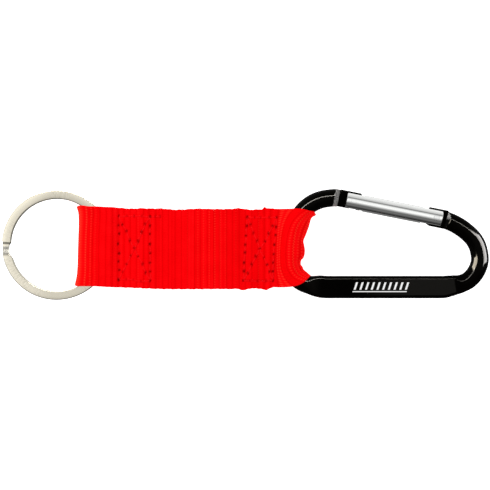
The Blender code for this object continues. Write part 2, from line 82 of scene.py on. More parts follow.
# ---------------------------------------------------------------- dimensions
ROD_R = 2.75
SPINE_HALF_W, SPINE_HALF_T, SPINE_CORNER = 3.48, 2.0, 1.2
SPINE_X0, SPINE_X1 = -19.72, 20.33
CORNER_POINTS = 14               # points on each corner of the rod's section
# the rod's bends from the spine's ends: (radius, turn in degrees)
WIDE_ARCS = ((8.10, 88.36), (46.0, 13.64), (11.70, 89.3))
HINGE_ARCS = ((12.06, 33.63), (9.05, 99.26), (19.3, 35.91))
BEND_STEP = 0.22
# from each bend's end to the rod's end, and to the hinge pin
WIDE_TAIL, HINGE_TO_BEND = 0.1, 0.85
# runs past the spine's ends over which its width and its flatness die out
WIDE_TAPER, HINGE_TAPER = (-1.5, 4.0), (-1.5, 7.0)
WIDE_FLAT, HINGE_FLAT = (0.5, 4.5), (2.6, 5.4)
# sideways sets of the centre line: (depth, start, length of rise, end, length of fall)
WIDE_SETS = ((0.34, -3.5, 5.0, 1.8, 3.4), (-0.30, 4.6, 3.6, 10.0, 5.0),
             (0.28, 23.0, 5.0, 38.0, 3.5))
HINGE_SETS = ((0.27, -1.0, 2.5, 2.8, 2.2), (-0.25, 4.5, 3.0, 14.0, 4.0))
GATE_SLOPE = 11.2                # degrees from the spine's line
GATE_R, GATE_NOSE, GATE_TAIL, GATE_EDGE_R = 2.6, 28.5, 1.9, 0.3
TAB_T, TAB_HALF_H, GAP = 1.8, 2.9, 0.3
LATCH_HALF_H, TAB_NOSE = 2.45, 2.7
FACET_FOOT = TAB_T / 2 + 0.12    # half height of the rod's end, where it meets a tab
SLOT_T = TAB_T + 2 * GAP
SHOULDER_TO_PIN = 3.55
HINGE_SLOT_DEPTH, LATCH_SLOT_START = 4.6, 22.95
BORE_R, BORE_START, BORE_END = 1.75, 2.0, 17.0
RIVET_R, LATCH_PIN_R, LATCH_PIN_AT = 0.9, 0.75, 26.2
CAM_R0, CAM_RISE = 2.9, 0.03     # radius at 0 degrees, rise per degree
PLUNGER_GAP, PLUNGER_R, PLUNGER_BACK = 0.5, 1.45, 7.6
SPRING_R, SPRING_WIRE_R, SPRING_TURNS, SPRING_GAP = 1.2, 0.18, 9, 0.15
RING_X, RING_Y, RING_MEAN_R = -100.94, 13.11, 15.74
RING_HALF_W, RING_COIL_T, RING_PITCH = 1.33, 1.22, 1.28
WEB_T = 1.1
TAIL_A_X, TAIL_B_X = -44.4, -69.4   # ends of the layers folded to the back
RIB = 2.0                        # pitch of the webbing's cross ribs


# ---------------------------------------------------------------- mesh helpers
def mesh_object(name, points, faces, material):
    """Makes an object from points in millimetres."""
    mesh = bpy.data.meshes.new(name)
    mesh.from_pydata((np.asarray(points, float) * MM).tolist(), [], faces)
    mesh.validate(clean_customdata=False)
    mesh.update()
    mesh.materials.append(material)
    ob = bpy.data.objects.new(name, mesh)
    COLL.objects.link(ob)
    return ob


def shade(mesh, angle=35.0):
    mesh.shade_smooth()
    mesh.set_sharp_from_angle(angle=radians(angle))


def face_outward(mesh, recalculate=True):
    bm = bmesh.new()
    bm.from_mesh(mesh)
    if recalculate:
        bmesh.ops.recalc_face_normals(bm, faces=bm.faces)
    if bm.calc_volume(signed=True) < 0:
        bmesh.ops.reverse_faces(bm, faces=bm.faces)
    bm.to_mesh(mesh)
    bm.free()


def loft_faces(ring_count, point_count, caps=True, base=0):
    faces = []
    for ring in range(ring_count - 1):
        this = base + ring * point_count
        after = this + point_count
        for i in range(point_count):
            j = (i + 1) % point_count
            faces.append((this + i, this + j, after + j, after + i))
    if caps:
        last = base + (ring_count - 1) * point_count
        faces.append(tuple(reversed(range(base, base + point_count))))
        faces.append(tuple(range(last, last + point_count)))
    return faces


def loft(name, rings, material, smooth=True):
    """Skins equal point rings; the result's faces are turned outward."""
    rings = [np.asarray(ring, float) for ring in rings]
    faces = loft_faces(len(rings), len(rings[0]))
    ob = mesh_object(name, np.concatenate(rings), faces, material)
    face_outward(ob.data)
    if smooth:
        shade(ob.data)
    return ob


def lathe(name, profile, material, segments=96, axis="X", centre=(0, 0, 0)):
    """Turns a profile of (place along the axis, radius)."""
    rings = []
    angle = np.linspace(0, 2 * pi, segments, endpoint=False)
    for place_, radius in profile:
        along = np.full(segments, float(place_))
        u, v = radius * np.cos(angle), radius * np.sin(angle)
        ring = (along, u, v) if axis == "X" else (u, v, along)
        rings.append(np.stack(ring, 1) + np.array(centre))
    return loft(name, rings, material)


def plate(name, outline, z0, z1, material, bevel=0.0):
    outline = np.asarray(outline, float)
    rings = [np.c_[outline, np.full(len(outline), z)] for z in (z0, z1)]
    ob = loft(name, rings, material, smooth=False)
    if bevel:
        modifier = ob.modifiers.new("bevel", "BEVEL")
        modifier.width = bevel * MM
        modifier.segments = 2
        modifier.limit_method = "ANGLE"
        modifier.angle_limit = radians(50)
    return ob


def apply_modifiers(ob, smooth=True):
    """Bakes an object's modifiers into its mesh."""
    depsgraph = bpy.context.evaluated_depsgraph_get()
    mesh = bpy.data.meshes.new_from_object(ob.evaluated_get(depsgraph))
    ob.modifiers.clear()
    old = ob.data
    ob.data = mesh
    mesh.name = ob.name
    bpy.data.meshes.remove(old)
    if smooth:
        shade(mesh)


def boolean(ob, tools, operation="DIFFERENCE"):
    for tool in tools:
        modifier = ob.modifiers.new(operation, "BOOLEAN")
        modifier.operation = operation
        modifier.solver = "EXACT"
        modifier.object = tool
    bpy.context.view_layer.update()
    apply_modifiers(ob)
    for tool in tools:
        bpy.data.objects.remove(tool, do_unlink=True)


def section(half_w, half_h, corner, per_corner=CORNER_POINTS):
    """A rounded rectangle's points."""
    points = []
    for quarter in range(4):
        x = (half_w - corner) * (1 if quarter in (0, 3) else -1)
        y = (half_h - corner) * (1 if quarter in (0, 1) else -1)
        for i in range(per_corner):
            angle = radians(90 * quarter + 90 * (i + 0.5) / per_corner)
            points.append((x + corner * cos(angle), y + corner * sin(angle)))
    return np.array(points)


def smooth01(t):
    t = np.clip(t, 0.0, 1.0)
    return t * t * (3 - 2 * t)


# ---------------------------------------------------------------- the rod's centre line
def bends(start, heading, side, arcs):
    """Stations (x, y, heading, run) along tangent arcs; side +1 turns left."""
    x, y = start
    run = 0.0
    stations = [(x, y, heading, run)]
    for radius, turn in arcs:
        centre_x = x - side * radius * sin(radians(heading))
        centre_y = y + side * radius * cos(radians(heading))
        count = max(2, int(round(radians(turn) * radius / BEND_STEP)))
        for i in range(1, count + 1):
            now = heading + side * turn * i / count
            stations.append((centre_x + side * radius * sin(radians(now)),
                             centre_y - side * radius * cos(radians(now)), now,
                             run + radius * radians(turn) * i / count))
        x, y, heading, run = stations[-1]
    return np.array(stations)


def set_depth(run, sets):
    return sum(depth * smooth01((run - start) / rise) * (1 - smooth01((run - end) / fall))
               for depth, start, rise, end, fall in sets)


def with_sets(path, side, sets):
    """Moves a centre line's stations sideways by the bends' sets."""
    x, y, heading, run = path.T
    push = set_depth(run, sets)
    slope = (set_depth(run + 0.05, sets) - set_depth(run - 0.05, sets)) / 0.1
    angle = np.radians(heading)
    return np.stack((x - side * push * np.sin(angle), y + side * push * np.cos(angle),
                     heading + side * np.degrees(np.arctan(slope)), run), 1)


WIDE = with_sets(bends((SPINE_X0, 0.0), 180.0, -1, WIDE_ARCS), -1, WIDE_SETS)
HINGE = with_sets(bends((SPINE_X1, 0.0), 0.0, +1, HINGE_ARCS), +1, HINGE_SETS)
# the gate's own frame: origin on the hinge pin, +X to the latch, +Y towards the spine
GATE_DIR = np.array((-cos(radians(GATE_SLOPE)), sin(radians(GATE_SLOPE))))
PIN = HINGE[-1, :2] + GATE_DIR * HINGE_TO_BEND
GATE_FRAME = (Matrix.Translation(Vector((PIN[0], PIN[1], MID_Z)) * MM)
              @ Matrix.Rotation(radians(180 - GATE_SLOPE), 4, "Z"))


# ---------------------------------------------------------------- shader helpers
class Signal:
    """A shader node's output; arithmetic on it adds Math nodes."""

    def __init__(self, graph, socket):
        self.graph = graph
        self.socket = socket

    def math(self, operation, *others, clamp=False):
        return self.graph.math(operation, self, *others, clamp=clamp)

    def __add__(self, other):
        return self.math("ADD", other)

    def __radd__(self, other):
        return self.graph.math("ADD", other, self)

    def __sub__(self, other):
        return self.math("SUBTRACT", other)

    def __rsub__(self, other):
        return self.graph.math("SUBTRACT", other, self)

    def __mul__(self, other):
        return self.math("MULTIPLY", other)

    def __pow__(self, other):
        return self.math("POWER", other)

    def __abs__(self):
        return self.math("ABSOLUTE")

    def fade(self, off, on):
        """Goes smoothly from 0 where the signal is `off` to 1 where it is `on`."""
        return self.graph.node("MapRange", "Result", interpolation_type="SMOOTHSTEP",
                               inputs={"From Min": off, "From Max": on, "Value": self})


class Graph:
    """Adds nodes to a node tree; an input is a Signal or a plain value."""

    def __init__(self, tree):
        self.tree = tree
        self.bsdf = tree.nodes.get("Principled BSDF")

    def put(self, node, inputs):
        for key, value in inputs.items():
            if isinstance(value, Signal):
                self.tree.links.new(value.socket, node.inputs[key])
            else:
                node.inputs[key].default_value = value

    def node(self, kind, *outputs, inputs=None, **settings):
        """Adds a node and returns the outputs asked for."""
        node = self.tree.nodes.new("ShaderNode" + kind)
        for key, value in settings.items():
            setattr(node, key, value)
        self.put(node, inputs or {})
        signals = [Signal(self, node.outputs[key]) for key in outputs]
        return signals[0] if len(signals) == 1 else signals

    def math(self, operation, *inputs, clamp=False):
        return self.node("Math", 0, inputs=dict(enumerate(inputs)),
                         operation=operation, use_clamp=clamp)

    def surface(self, inputs):
        self.put(self.bsdf, inputs)

    def ramp(self, factor, stops):
        """Stops are (place, (red, green, blue))."""
        colour = self.node("ValToRGB", "Color", inputs={"Fac": factor})
        elements = colour.socket.node.color_ramp.elements
        while len(elements) < len(stops):
            elements.new(0.5)
        for element, (place_, rgb) in zip(elements, stops):
            element.position = place_
            element.color = (*rgb, 1.0)
        return colour

    def mix(self, factor, first, second):
        """Mixes two colours; a factor of 1 gives the second."""
        return self.node("Mix", 2, inputs={"Factor": factor, 6: first, 7: second},
                         data_type="RGBA")

    def brighten(self, colour, gain):
        return self.node("VectorMath", 0, inputs={0: colour, "Scale": gain}, operation="SCALE")

    def stretch(self, vector, scale):
        return self.node("Mapping", "Vector", inputs={"Scale": scale, "Vector": vector})

    def position(self, scale=1000.0):
        """Object coordinates, in millimetres at the usual scale."""
        return self.stretch(self.node("TexCoord", "Object"), (scale,) * 3)

    def axes(self, vector):
        return self.node("SeparateXYZ", 0, 1, 2, inputs={0: vector})

    def combine(self, x, y):
        return self.node("CombineXYZ", 0, inputs={0: x, 1: y})

    def noise(self, vector, scale, detail, rough=0.5):
        return self.node("TexNoise", "Fac", inputs={
            "Scale": scale, "Detail": detail, "Roughness": rough, "Vector": vector})

    def attribute(self, name):
        return self.node("Attribute", "Fac", attribute_name=name)

    def random(self, value):
        return self.node("TexWhiteNoise", "Value", inputs={"W": value}, noise_dimensions="1D")

    def bump(self, height, strength, distance):
        return self.node("Bump", "Normal", inputs={
            "Strength": strength, "Distance": distance * MM, "Height": height})


def new_material(name):
    material = bpy.data.materials.new(name)
    material.use_nodes = True
    return material, Graph(material.node_tree)


# ---------------------------------------------------------------- materials
def black_gloss():
    """Polished black anodising, deepest on the round rod; the grey on the spine's flat faces is
    painted reflection.
    """
    material, graph = new_material("black_gloss_anodised")
    point = graph.position()
    fine = graph.noise(point, scale=1.6, detail=4.0, rough=0.6)
    scratch = graph.noise(graph.stretch(point, (0.5, 9.0, 0.5)),
                          scale=1.2, detail=5.0, rough=0.65)
    deep = graph.ramp(fine, [(0.3, (0.0005, 0.0004, 0.0003)), (0.75, (0.0013, 0.0011, 0.0008))])
    x, y, _ = graph.axes(point)
    up = abs(graph.axes(graph.node("NewGeometry", "Normal"))[2])
    # painted reflection: the spine's flat faces lose their specular and get a grey base colour in its
    # place, greyer towards the hinge end
    flat = (x.fade(off=-21.0, on=-18.0) * x.fade(off=24.6, on=24.1)
            * up.fade(off=0.975, on=0.9990) * y.fade(off=5.0, on=4.5))
    face = flat * x.fade(off=-10.0, on=9.0)
    grey = graph.ramp(scratch, [(0.3, (0.0078, 0.0074, 0.0066)), (0.7, (0.0092, 0.0088, 0.0080))])
    # the spine's rounded edges and the two tabs stay nearly dull
    edge = x.fade(off=-19.5, on=-16.5) * x.fade(off=27.5, on=25.0) * y.fade(off=4.6, on=4.0)
    tab = x.fade(off=-13.4, on=-12.9) * x.fade(off=21.4, on=20.9) * y.fade(off=15.0, on=16.0)
    # specular level of the round rod, less what the edges and the tabs lose
    shine = 0.09 - (edge * 0.058 + tab * 0.083)
    # the bend by the spine's hinge end loses about half its shine
    thin = x.fade(off=20.5, on=21.5) * x.fade(off=28.6, on=26.2)
    low = y.fade(off=5.6, on=4.8) * x.fade(off=23.0, on=24.5)
    shine = shine * (1.0 - thin.math("MAXIMUM", low) * 0.55)
    # the finish doesn't flare when it is seen edge on
    facing = graph.node("LayerWeight", "Facing", inputs={"Blend": 0.5})
    shine = shine * facing.fade(off=0.90, on=0.55)
    graph.surface({
        "Base Color": graph.mix(face, deep, grey),
        "Roughness": scratch * 0.07 + 0.05,
        "IOR": 1.21,
        "Specular Tint": (1.0, 0.95, 0.86, 1.0),
        "Specular IOR Level": shine * (1.0 - flat),
        "Normal": graph.bump(fine, strength=0.04, distance=0.05)})
    return material


def black_facet():
    """The facets where the rod is cut down to its tabs: rougher, and grey with painted reflection."""
    material, graph = new_material("black_blasted_facet")
    point = graph.position()
    grit = graph.noise(point, scale=2.2, detail=5.0, rough=0.8)
    grey = graph.ramp(grit, [(0.35, (0.03, 0.03, 0.03)), (0.5, (0.16, 0.155, 0.15)),
                             (0.7, (0.42, 0.41, 0.40))])
    x, y, _ = graph.axes(point)
    # painted highlight: the hinge end's facet is grey, and brighter, only towards +Y, and black
    # elsewhere
    painted_lit_part = x.fade(off=0.0, on=-4.0).math("MAXIMUM", y.fade(off=20.9, on=21.8))
    bright = graph.brighten(grey, gain=1.1 + x.fade(off=0.0, on=4.0) * 0.8)
    graph.surface({
        "Base Color": graph.mix(painted_lit_part, (0.004, 0.004, 0.004, 1.0), bright),
        "Roughness": 0.45,
        "IOR": 1.4,
        "Specular IOR Level": 0.0,
        "Normal": graph.bump(grit, strength=0.6, distance=0.06)})
    return material


def satin_aluminium():
    """Bright metal with fine lines along the X axis of each object."""
    material, graph = new_material("satin_aluminium")
    point = graph.position()
    line = graph.noise(graph.stretch(point, (0.25, 14.0, 14.0)), scale=1.0, detail=4.0, rough=0.6)
    soft = graph.noise(point, scale=0.5, detail=2.0)
    graph.surface({
        "Base Color": graph.ramp(line, [(0.3, (0.76, 0.77, 0.76)), (0.7, (0.92, 0.925, 0.92))]),
        "Metallic": 1.0,
        "Roughness": soft * 0.05 + 0.065,
        "Normal": graph.bump(line, strength=0.10, distance=0.014)})
    return material


def nickel():
    """The ring's plating, in terms of the angle and radius about its centre, with painted highlights
    and painted shade laid on by angle and radius.
    """
    material, graph = new_material("nickel_plate")
    point = graph.position()
    x, y, z = graph.axes(point)
    from_x = x - RING_X
    from_y = y - RING_Y
    angle = from_y.math("ARCTAN2", from_x)
    radius = (from_x * from_x + from_y * from_y).math("SQRT")
    # strokes that run out from the ring's centre, in patches
    stroke = graph.noise(graph.combine(angle * 24.0, radius * 0.35),
                         scale=1.8, detail=4.0, rough=0.6)
    patch = graph.noise(point, scale=0.16, detail=2.0)
    mask = graph.ramp(patch, [(0.42, (0, 0, 0)), (0.62, (1, 1, 1))])
    strokes = (stroke - 0.5) * mask
    colour = graph.ramp(0.5 + strokes * 0.7, [
        (0.25, (0.38, 0.355, 0.295)), (0.5, (0.56, 0.525, 0.435)), (0.8, (0.67, 0.64, 0.56))])
    # painted highlight: brighter on the side away from the strap and towards the outer edge
    painted_highlight_far = (angle.math("COSINE") * -1.0).fade(off=0.02, on=0.62)
    edge = radius.fade(off=RING_MEAN_R - 1.2, on=RING_MEAN_R + 1.2)
    gain = 1.0 + painted_highlight_far * (0.20 + edge * 0.10)
    gain = gain + edge ** 3.0 * 0.26
    # painted shade in the gap just before the crossover, low on the wire
    deep = (angle.fade(off=3.074, on=3.084) * angle.fade(off=3.132, on=3.118)
            * z.fade(off=2.15, on=1.95))
    gain = gain * (1.0 - deep * 0.72)
    # painted highlight on the crossover
    pale = angle.fade(off=-3.141, on=-3.10) * angle.fade(off=-2.94, on=-3.00)
    graph.surface({
        "Base Color": graph.mix(pale * 0.4, graph.brighten(colour, gain), (0.98, 0.97, 0.93, 1.0)),
        "Metallic": 1.0,
        "Roughness": patch * 0.12 + 0.16,
        "Normal": graph.bump(strokes, strength=0.04, distance=0.02)})
    return material


def steel(name, tone, rough):
    material, graph = new_material(name)
    grain = graph.noise(graph.stretch(graph.position(), (3.0, 3.0, 0.8)), scale=2.5, detail=4.0)
    dark = tuple(channel * 0.75 for channel in tone)
    graph.surface({
        "Base Color": graph.ramp(grain, [(0.3, dark), (0.7, tone)]),
        "Metallic": 1.0,
        "Roughness": grain * 0.15 + rough,
        "Normal": graph.bump(grain, strength=0.1, distance=0.02)})
    return material


# bright floats along the strap, and painted sheen on the fold round the ring (the first three
# entries): (place, width, strength, how dotted)
FLOATS_AND_FOLD_SHEEN = (
    (-94.15, 0.60, 0.95, 0.35), (-92.25, 0.24, 0.85, 0.8), (-90.7, 0.22, 0.50, 0.9),
    (-89.2, 0.2, 0.22, 0.9), (-75.6, 0.14, 0.20, 1.0), (-60.1, 0.14, 0.16, 1.0),
    (-56.9, 0.16, 0.30, 1.0), (-55.1, 0.16, 0.36, 1.0), (-53.3, 0.17, 0.45, 1.0),
    (-51.6, 0.17, 0.50, 1.0), (-49.9, 0.16, 0.36, 1.0), (-48.3, 0.16, 0.26, 1.0),
    (-45.0, 0.14, 0.20, 1.0), (-37.8, 0.14, 0.22, 1.0), (-31.5, 0.26, 0.66, 0.9),
    (-30.5, 0.26, 0.66, 0.9), (-27.2, 0.22, 0.50, 1.0), (-26.0, 0.24, 0.75, 1.0),
    (-24.7, 0.20, 0.40, 1.0), (-23.4, 0.22, 0.60, 1.0))
YARN_PITCH = 0.80


def float_and_fold_sheen_glow(graph, along, yarn):
    """How much the floats and the painted sheen on the fold show, from 0 to 1."""
    dots = yarn.math("MAXIMUM", 0.0)
    glow = None
    for place_, width, strength, dotted in FLOATS_AND_FOLD_SHEEN:
        distance = abs((along - place_) * (1 / width)) ** 2.0
        band = (distance * -1.0).math("EXPONENT") * strength
        band = band * (dots * (1.6 * dotted) + (1.0 - dotted))
        glow = band if glow is None else glow + band
    return glow.math("MULTIPLY", 1.0, clamp=True)


def webbing_material():
    """Woven ribs and yarns drawn in the webbing's own length and width coordinates."""
    material, graph = new_material("red_webbing")
    along, across, hole = [graph.attribute(name) for name in ("along", "across", "hole")]
    rib = abs((along * (pi / RIB)).math("SINE"))
    row = (along * (1 / RIB)).math("FLOOR")
    third = (along * (3 / RIB)).math("FLOOR")
    row_lot = graph.random(row)
    third_lot = graph.random(third)
    yarn = (across * (2 * pi / YARN_PITCH) + row * pi).math("COSINE")
    pick = (along * (2 * pi / (RIB / 3))).math("COSINE")
    place_ = graph.combine(along, across)
    fuzz = graph.noise(place_, scale=2.6, detail=4.0, rough=0.65)
    broad = graph.noise(place_, scale=0.22, detail=2.0)
    painted_groove_shade = (1.0 - rib) ** 3.0
    # how much each layer of the weave lightens or darkens the cloth; the grooves between ribs get
    # painted shade
    tone = (0.115 + broad * 0.22 + fuzz * 0.42 + (row_lot - 0.5) * 0.12
            + (third_lot - 0.5) * 0.15 + yarn * 0.025 - painted_groove_shade * 0.25)
    base = graph.ramp(tone, [
        (0.15, (0.72, 0.0, 0.0006)), (0.42, (0.90, 0.0004, 0.0020)),
        (0.56, (0.965, 0.0018, 0.0036)), (0.80, (1.0, 0.012, 0.010))])
    lit = graph.mix(float_and_fold_sheen_glow(graph, along, yarn), base, (1.0, 0.030, 0.016, 1.0))
    relief = yarn * 0.5 + pick * 0.35 + fuzz * 0.8
    # painted shade in the needle holes and in the grooves pressed along the seams
    graph.surface({
        "Base Color": graph.mix(hole, lit, (0.27, 0.0, 0.0, 1.0)),
        "Roughness": 0.72,
        "Specular IOR Level": 0.01,
        "Sheen Weight": 0.10,
        "Sheen Roughness": 0.3,
        "Sheen Tint": (1.0, 0.16, 0.06, 1.0),
        "Normal": graph.bump(relief, strength=0.45, distance=0.040)})
    return material


def thread_material():
    """Twisted red thread, with painted shade where it goes into the needle holes."""
    material, graph = new_material("red_thread")
    point = graph.position()
    twist = graph.node("TexWave", "Fac", bands_direction="DIAGONAL",
                       inputs={"Scale": 2.2, "Distortion": 0.6, "Vector": point})
    fuzz = graph.noise(point, scale=5.0, detail=3.0)
    base = graph.ramp((twist + fuzz) * 0.5, [(0.2, (0.84, 0.0, 0.002)), (0.8, (1.0, 0.004, 0.006))])
    graph.surface({
        "Base Color": graph.mix(graph.attribute("hole"), base, (0.40, 0.0, 0.0, 1.0)),
        "Roughness": 0.5,
        "Specular IOR Level": 0.03,
        "Normal": graph.bump(twist, strength=0.5, distance=0.05)})
    return material


def ink_material():
    material, graph = new_material("white_ink")
    mottle = graph.noise(graph.position(), scale=3.0, detail=4.0)
    graph.surface({
        "Base Color": graph.ramp(mottle, [(0.3, (0.72, 0.72, 0.72)), (0.7, (0.88, 0.88, 0.88))]),
        "Roughness": 0.45,
        "Normal": graph.bump(mottle, strength=0.2, distance=0.02)})
    return material


BLACK = black_gloss()
FACET = black_facet()
SATIN = satin_aluminium()
NICKEL = nickel()
PIN_STEEL = steel("pin_steel", tone=(0.86, 0.865, 0.86), rough=0.14)
SPRING_STEEL = steel("spring_steel", tone=(0.5, 0.5, 0.52), rough=0.25)
WEB = webbing_material()
THREAD = thread_material()
INK = ink_material()


def place(ob, slot, body, *nodes):
    """Tells the frame which body carries an object, its slot and the pieces it replaces."""
    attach(ob, body)
    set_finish(ob, slot)
    if nodes:
        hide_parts(*nodes)


# ---------------------------------------------------------------- carabiner
def rod_section(flat, broad):
    """The round rod's section, or the spine's where flat and broad are 1."""
    half_w = ROD_R + (SPINE_HALF_W - ROD_R) * broad
    half_t = ROD_R + (SPINE_HALF_T - ROD_R) * flat
    corner = ROD_R + (SPINE_CORNER - ROD_R) * flat
    # a corner's points stop short of its top by this much
    lift = corner * (1 - sin(radians(90 * (CORNER_POINTS - 0.5) / CORNER_POINTS)))
    return section(half_w, half_t + lift * flat, corner)


def taper(run, span):
    return 1 - float(smooth01((run - span[0]) / (span[1] - span[0])))


def rod_ring(x, y, heading, flat, broad, limit=None, shrink=0.0):
    """A ring round the centre line; limit clips its half height."""
    points = rod_section(flat, broad)
    if shrink:
        points = points * (1 - shrink / ROD_R)
    sideways, height = points[:, 0], points[:, 1]
    if limit is not None:
        height = np.clip(height, -limit, limit)
    return np.stack((x - sideways * sin(radians(heading)),
                     y + sideways * cos(radians(heading)), MID_Z + height), 1)


def facet_limit(run, end, length):
    """Half height left by the sloping facets of that length, or None clear of them."""
    to_end = end - run
    if to_end > length + 0.02:
        return None
    return FACET_FOOT + (ROD_R - FACET_FOOT) * max(to_end, 0) / length


def latch_end_rings(facet=1.45):
    """From the rod's end at the latch, round the wide bend to the spine."""
    x, y, heading, last = WIDE[-1]
    end = last + WIDE_TAIL
    rings = []
    for back, shrink in ((0.0, 0.12), (0.06, 0.04), (0.16, 0.0), (0.34, 0.0)):
        rings.append(rod_ring(x + (WIDE_TAIL - back) * cos(radians(heading)),
                              y + (WIDE_TAIL - back) * sin(radians(heading)),
                              heading + 180, 0.0, 0.0,
                              facet_limit(end - back, end, facet), shrink))
    for x, y, heading, run in WIDE[::-1]:
        if run <= end - 0.45:
            rings.append(rod_ring(x, y, heading + 180, taper(run, WIDE_FLAT),
                                  taper(run, WIDE_TAPER), facet_limit(run, end, facet)))
    return rings


def spine_rings(count=90):
    def line(x):
        return float(set_depth(SPINE_X0 - x, WIDE_SETS) + set_depth(x - SPINE_X1, HINGE_SETS))
    rings = []
    for i in range(1, count):
        x = SPINE_X0 + (SPINE_X1 - SPINE_X0) * i / count
        lean = (line(x + 0.05) - line(x - 0.05)) / 0.1
        broad = taper(SPINE_X0 - x, WIDE_TAPER) * taper(x - SPINE_X1, HINGE_TAPER)
        rings.append(rod_ring(x, line(x), atan2(lean, 1.0) * 180 / pi, 1.0, broad))
    return rings


def hinge_end_rings(facet=1.1):
    """From the spine round to the rod's end at the hinge."""
    x, y, heading, last = HINGE[-1]
    end = last - (SHOULDER_TO_PIN - 0.35 - HINGE_TO_BEND)
    rings = []
    for sx, sy, turned, run in HINGE:
        if run < end - 0.3:
            rings.append(rod_ring(sx, sy, turned, taper(run, HINGE_FLAT),
                                  taper(run, HINGE_TAPER), facet_limit(run, end, facet)))
    radius = HINGE_ARCS[-1][0]
    centre_x = x - radius * sin(radians(heading))
    centre_y = y + radius * cos(radians(heading))
    for back, shrink in ((0.2, 0.0), (0.08, 0.03), (0.0, 0.12)):
        now = heading - (last - end + back) / radius * 180 / pi
        rings.append(rod_ring(centre_x + radius * sin(radians(now)),
                              centre_y - radius * cos(radians(now)), now, 0.0, 0.0,
                              facet_limit(end - back, end, facet), shrink))
    return rings


def hinge_tab_outline():
    """A square-nosed tab whose end is the cam that the gate's plunger rides on."""
    shoulder, h = SHOULDER_TO_PIN, TAB_HALF_H
    points = [(-5.6, -1.3), (-shoulder - 0.1, -2.5), (-shoulder + 0.25, -h),
              (TAB_NOSE - 0.3, -h), (TAB_NOSE, -h + 0.3)]
    for i in range(40):
        angle = -25 + 61 * i / 39
        radius = CAM_R0 + CAM_RISE * angle
        points.append((radius * cos(radians(angle)), radius * sin(radians(angle))))
    points = [point for point in points if point[1] < 2.1]
    return points + [(2.35, 2.48), (1.9, 2.7), (1.45, h), (-shoulder + 0.25, h),
                     (-shoulder - 0.1, 2.5), (-5.6, 2.3)]


def latch_tab_outline():
    """The hook that holds the latch pin."""
    h, low, rod_end = TAB_HALF_H, LATCH_HALF_H, 31.0
    inner = LATCH_PIN_AT - LATCH_PIN_R - GAP
    outer = LATCH_PIN_AT + LATCH_PIN_R + GAP
    hook, top = inner - 0.5, LATCH_PIN_R + GAP

    def arc(radius, y0, y1, count):
        """An arc about the hinge pin, between two heights."""
        heights = [y0 + (y1 - y0) * i / count for i in range(count + 1)]
        return [(sqrt(radius * radius - y * y), y) for y in heights]
    return ([(32.4, 1.6), (rod_end + 0.1, 2.3), (rod_end - 0.2, low)]
            + arc(outer, low, -top + 0.5, 10)
            + [(LATCH_PIN_AT + 0.65, -top + 0.06), (LATCH_PIN_AT + 0.2, -top),
               (hook + 0.5, -top), (hook + 0.12, -top + 0.15)]
            + arc(hook, -top + 0.5, 0.4, 4) + arc(inner, 0.8, low, 6)
            + [(23.9, low), (23.4, low - 0.6), (23.4, -1.9), (24.4, -h), (rod_end - 0.2, -h),
               (rod_end + 0.1, -2.6), (32.4, -1.2)])


def give_facets_painted_reflection(mesh):
    """Gives the cut facets, and a band at the latch shoulder, the rough facet material, whose grey is
    painted reflection.
    """
    mesh.materials.append(FACET)
    to_gate = GATE_FRAME.inverted()
    for poly in mesh.polygons:
        centre = to_gate @ poly.center / MM
        normal = to_gate.to_3x3() @ poly.normal
        cut = ((-4.6 < centre.x < -3.05 or 30.9 < centre.x < 32.65)
               and 0.45 < abs(poly.normal.z) < 0.95 and abs(centre.z) < 2.5
               and poly.area > 0.004 * MM * MM
               and abs(normal.x) > 0.35 and abs(normal.y) < 0.3)
        band = 31.15 < centre.x < 32.35 and abs(centre.y) < 4.0 and normal.x < 0.9
        poly.material_index = 1 if cut or band else 0


def carabiner():
    body = loft("carabiner_body_finish",
                latch_end_rings() + spine_rings() + hinge_end_rings(), BLACK)
    tabs = []
    for name, outline in (("t_hinge", hinge_tab_outline()), ("t_latch", latch_tab_outline())):
        tab = plate(name, outline, -TAB_T / 2, TAB_T / 2, BLACK, bevel=0.12)
        tab.matrix_world = GATE_FRAME
        apply_modifiers(tab, smooth=False)
        tabs.append(tab)
    boolean(body, tabs, "UNION")
    hole_r = RIVET_R + 0.12
    hole = lathe("t_hole", ((-3, hole_r), (3, hole_r)), BLACK, 48, "Z")
    hole.matrix_world = GATE_FRAME
    boolean(body, [hole])
    give_facets_painted_reflection(body.data)
    place(body, "body_black", "carabiner", "carabiner_body")


carabiner()


def spine_mark():
    """A plain row of slanted white bars over a thin rule, printed on the spine."""
    points, faces = [], []
    z0, z1 = MID_Z + SPINE_HALF_T - 0.01, MID_Z + SPINE_HALF_T + 0.03

    def prism(outline):
        base, count = len(points), len(outline)
        points.extend((x, y, z) for z in (z0, z1) for x, y in outline)
        faces.append(tuple(base + i for i in reversed(range(count))))
        faces.append(tuple(base + count + i for i in range(count)))
        for i in range(count):
            j = (i + 1) % count
            faces.append((base + i, base + j, base + count + j, base + count + i))
    width, space, lean = 0.62, 1.15, 0.75
    y0, y1 = -0.75, 1.55
    x = -8.4
    for _ in range(10):
        prism([(x, y0), (x + width, y0), (x + width + lean, y1), (x + lean, y1)])
        x += width + space
    prism([(-8.8, -1.5), (x - 1.3, -1.5), (x - 1.17, -1.2), (-8.67, -1.2)])
    ob = mesh_object("spine_mark", points, faces, INK)
    face_outward(ob.data)
    place(ob, "body_black", "carabiner")
    ob["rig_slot"] = "body_black"


spine_mark()


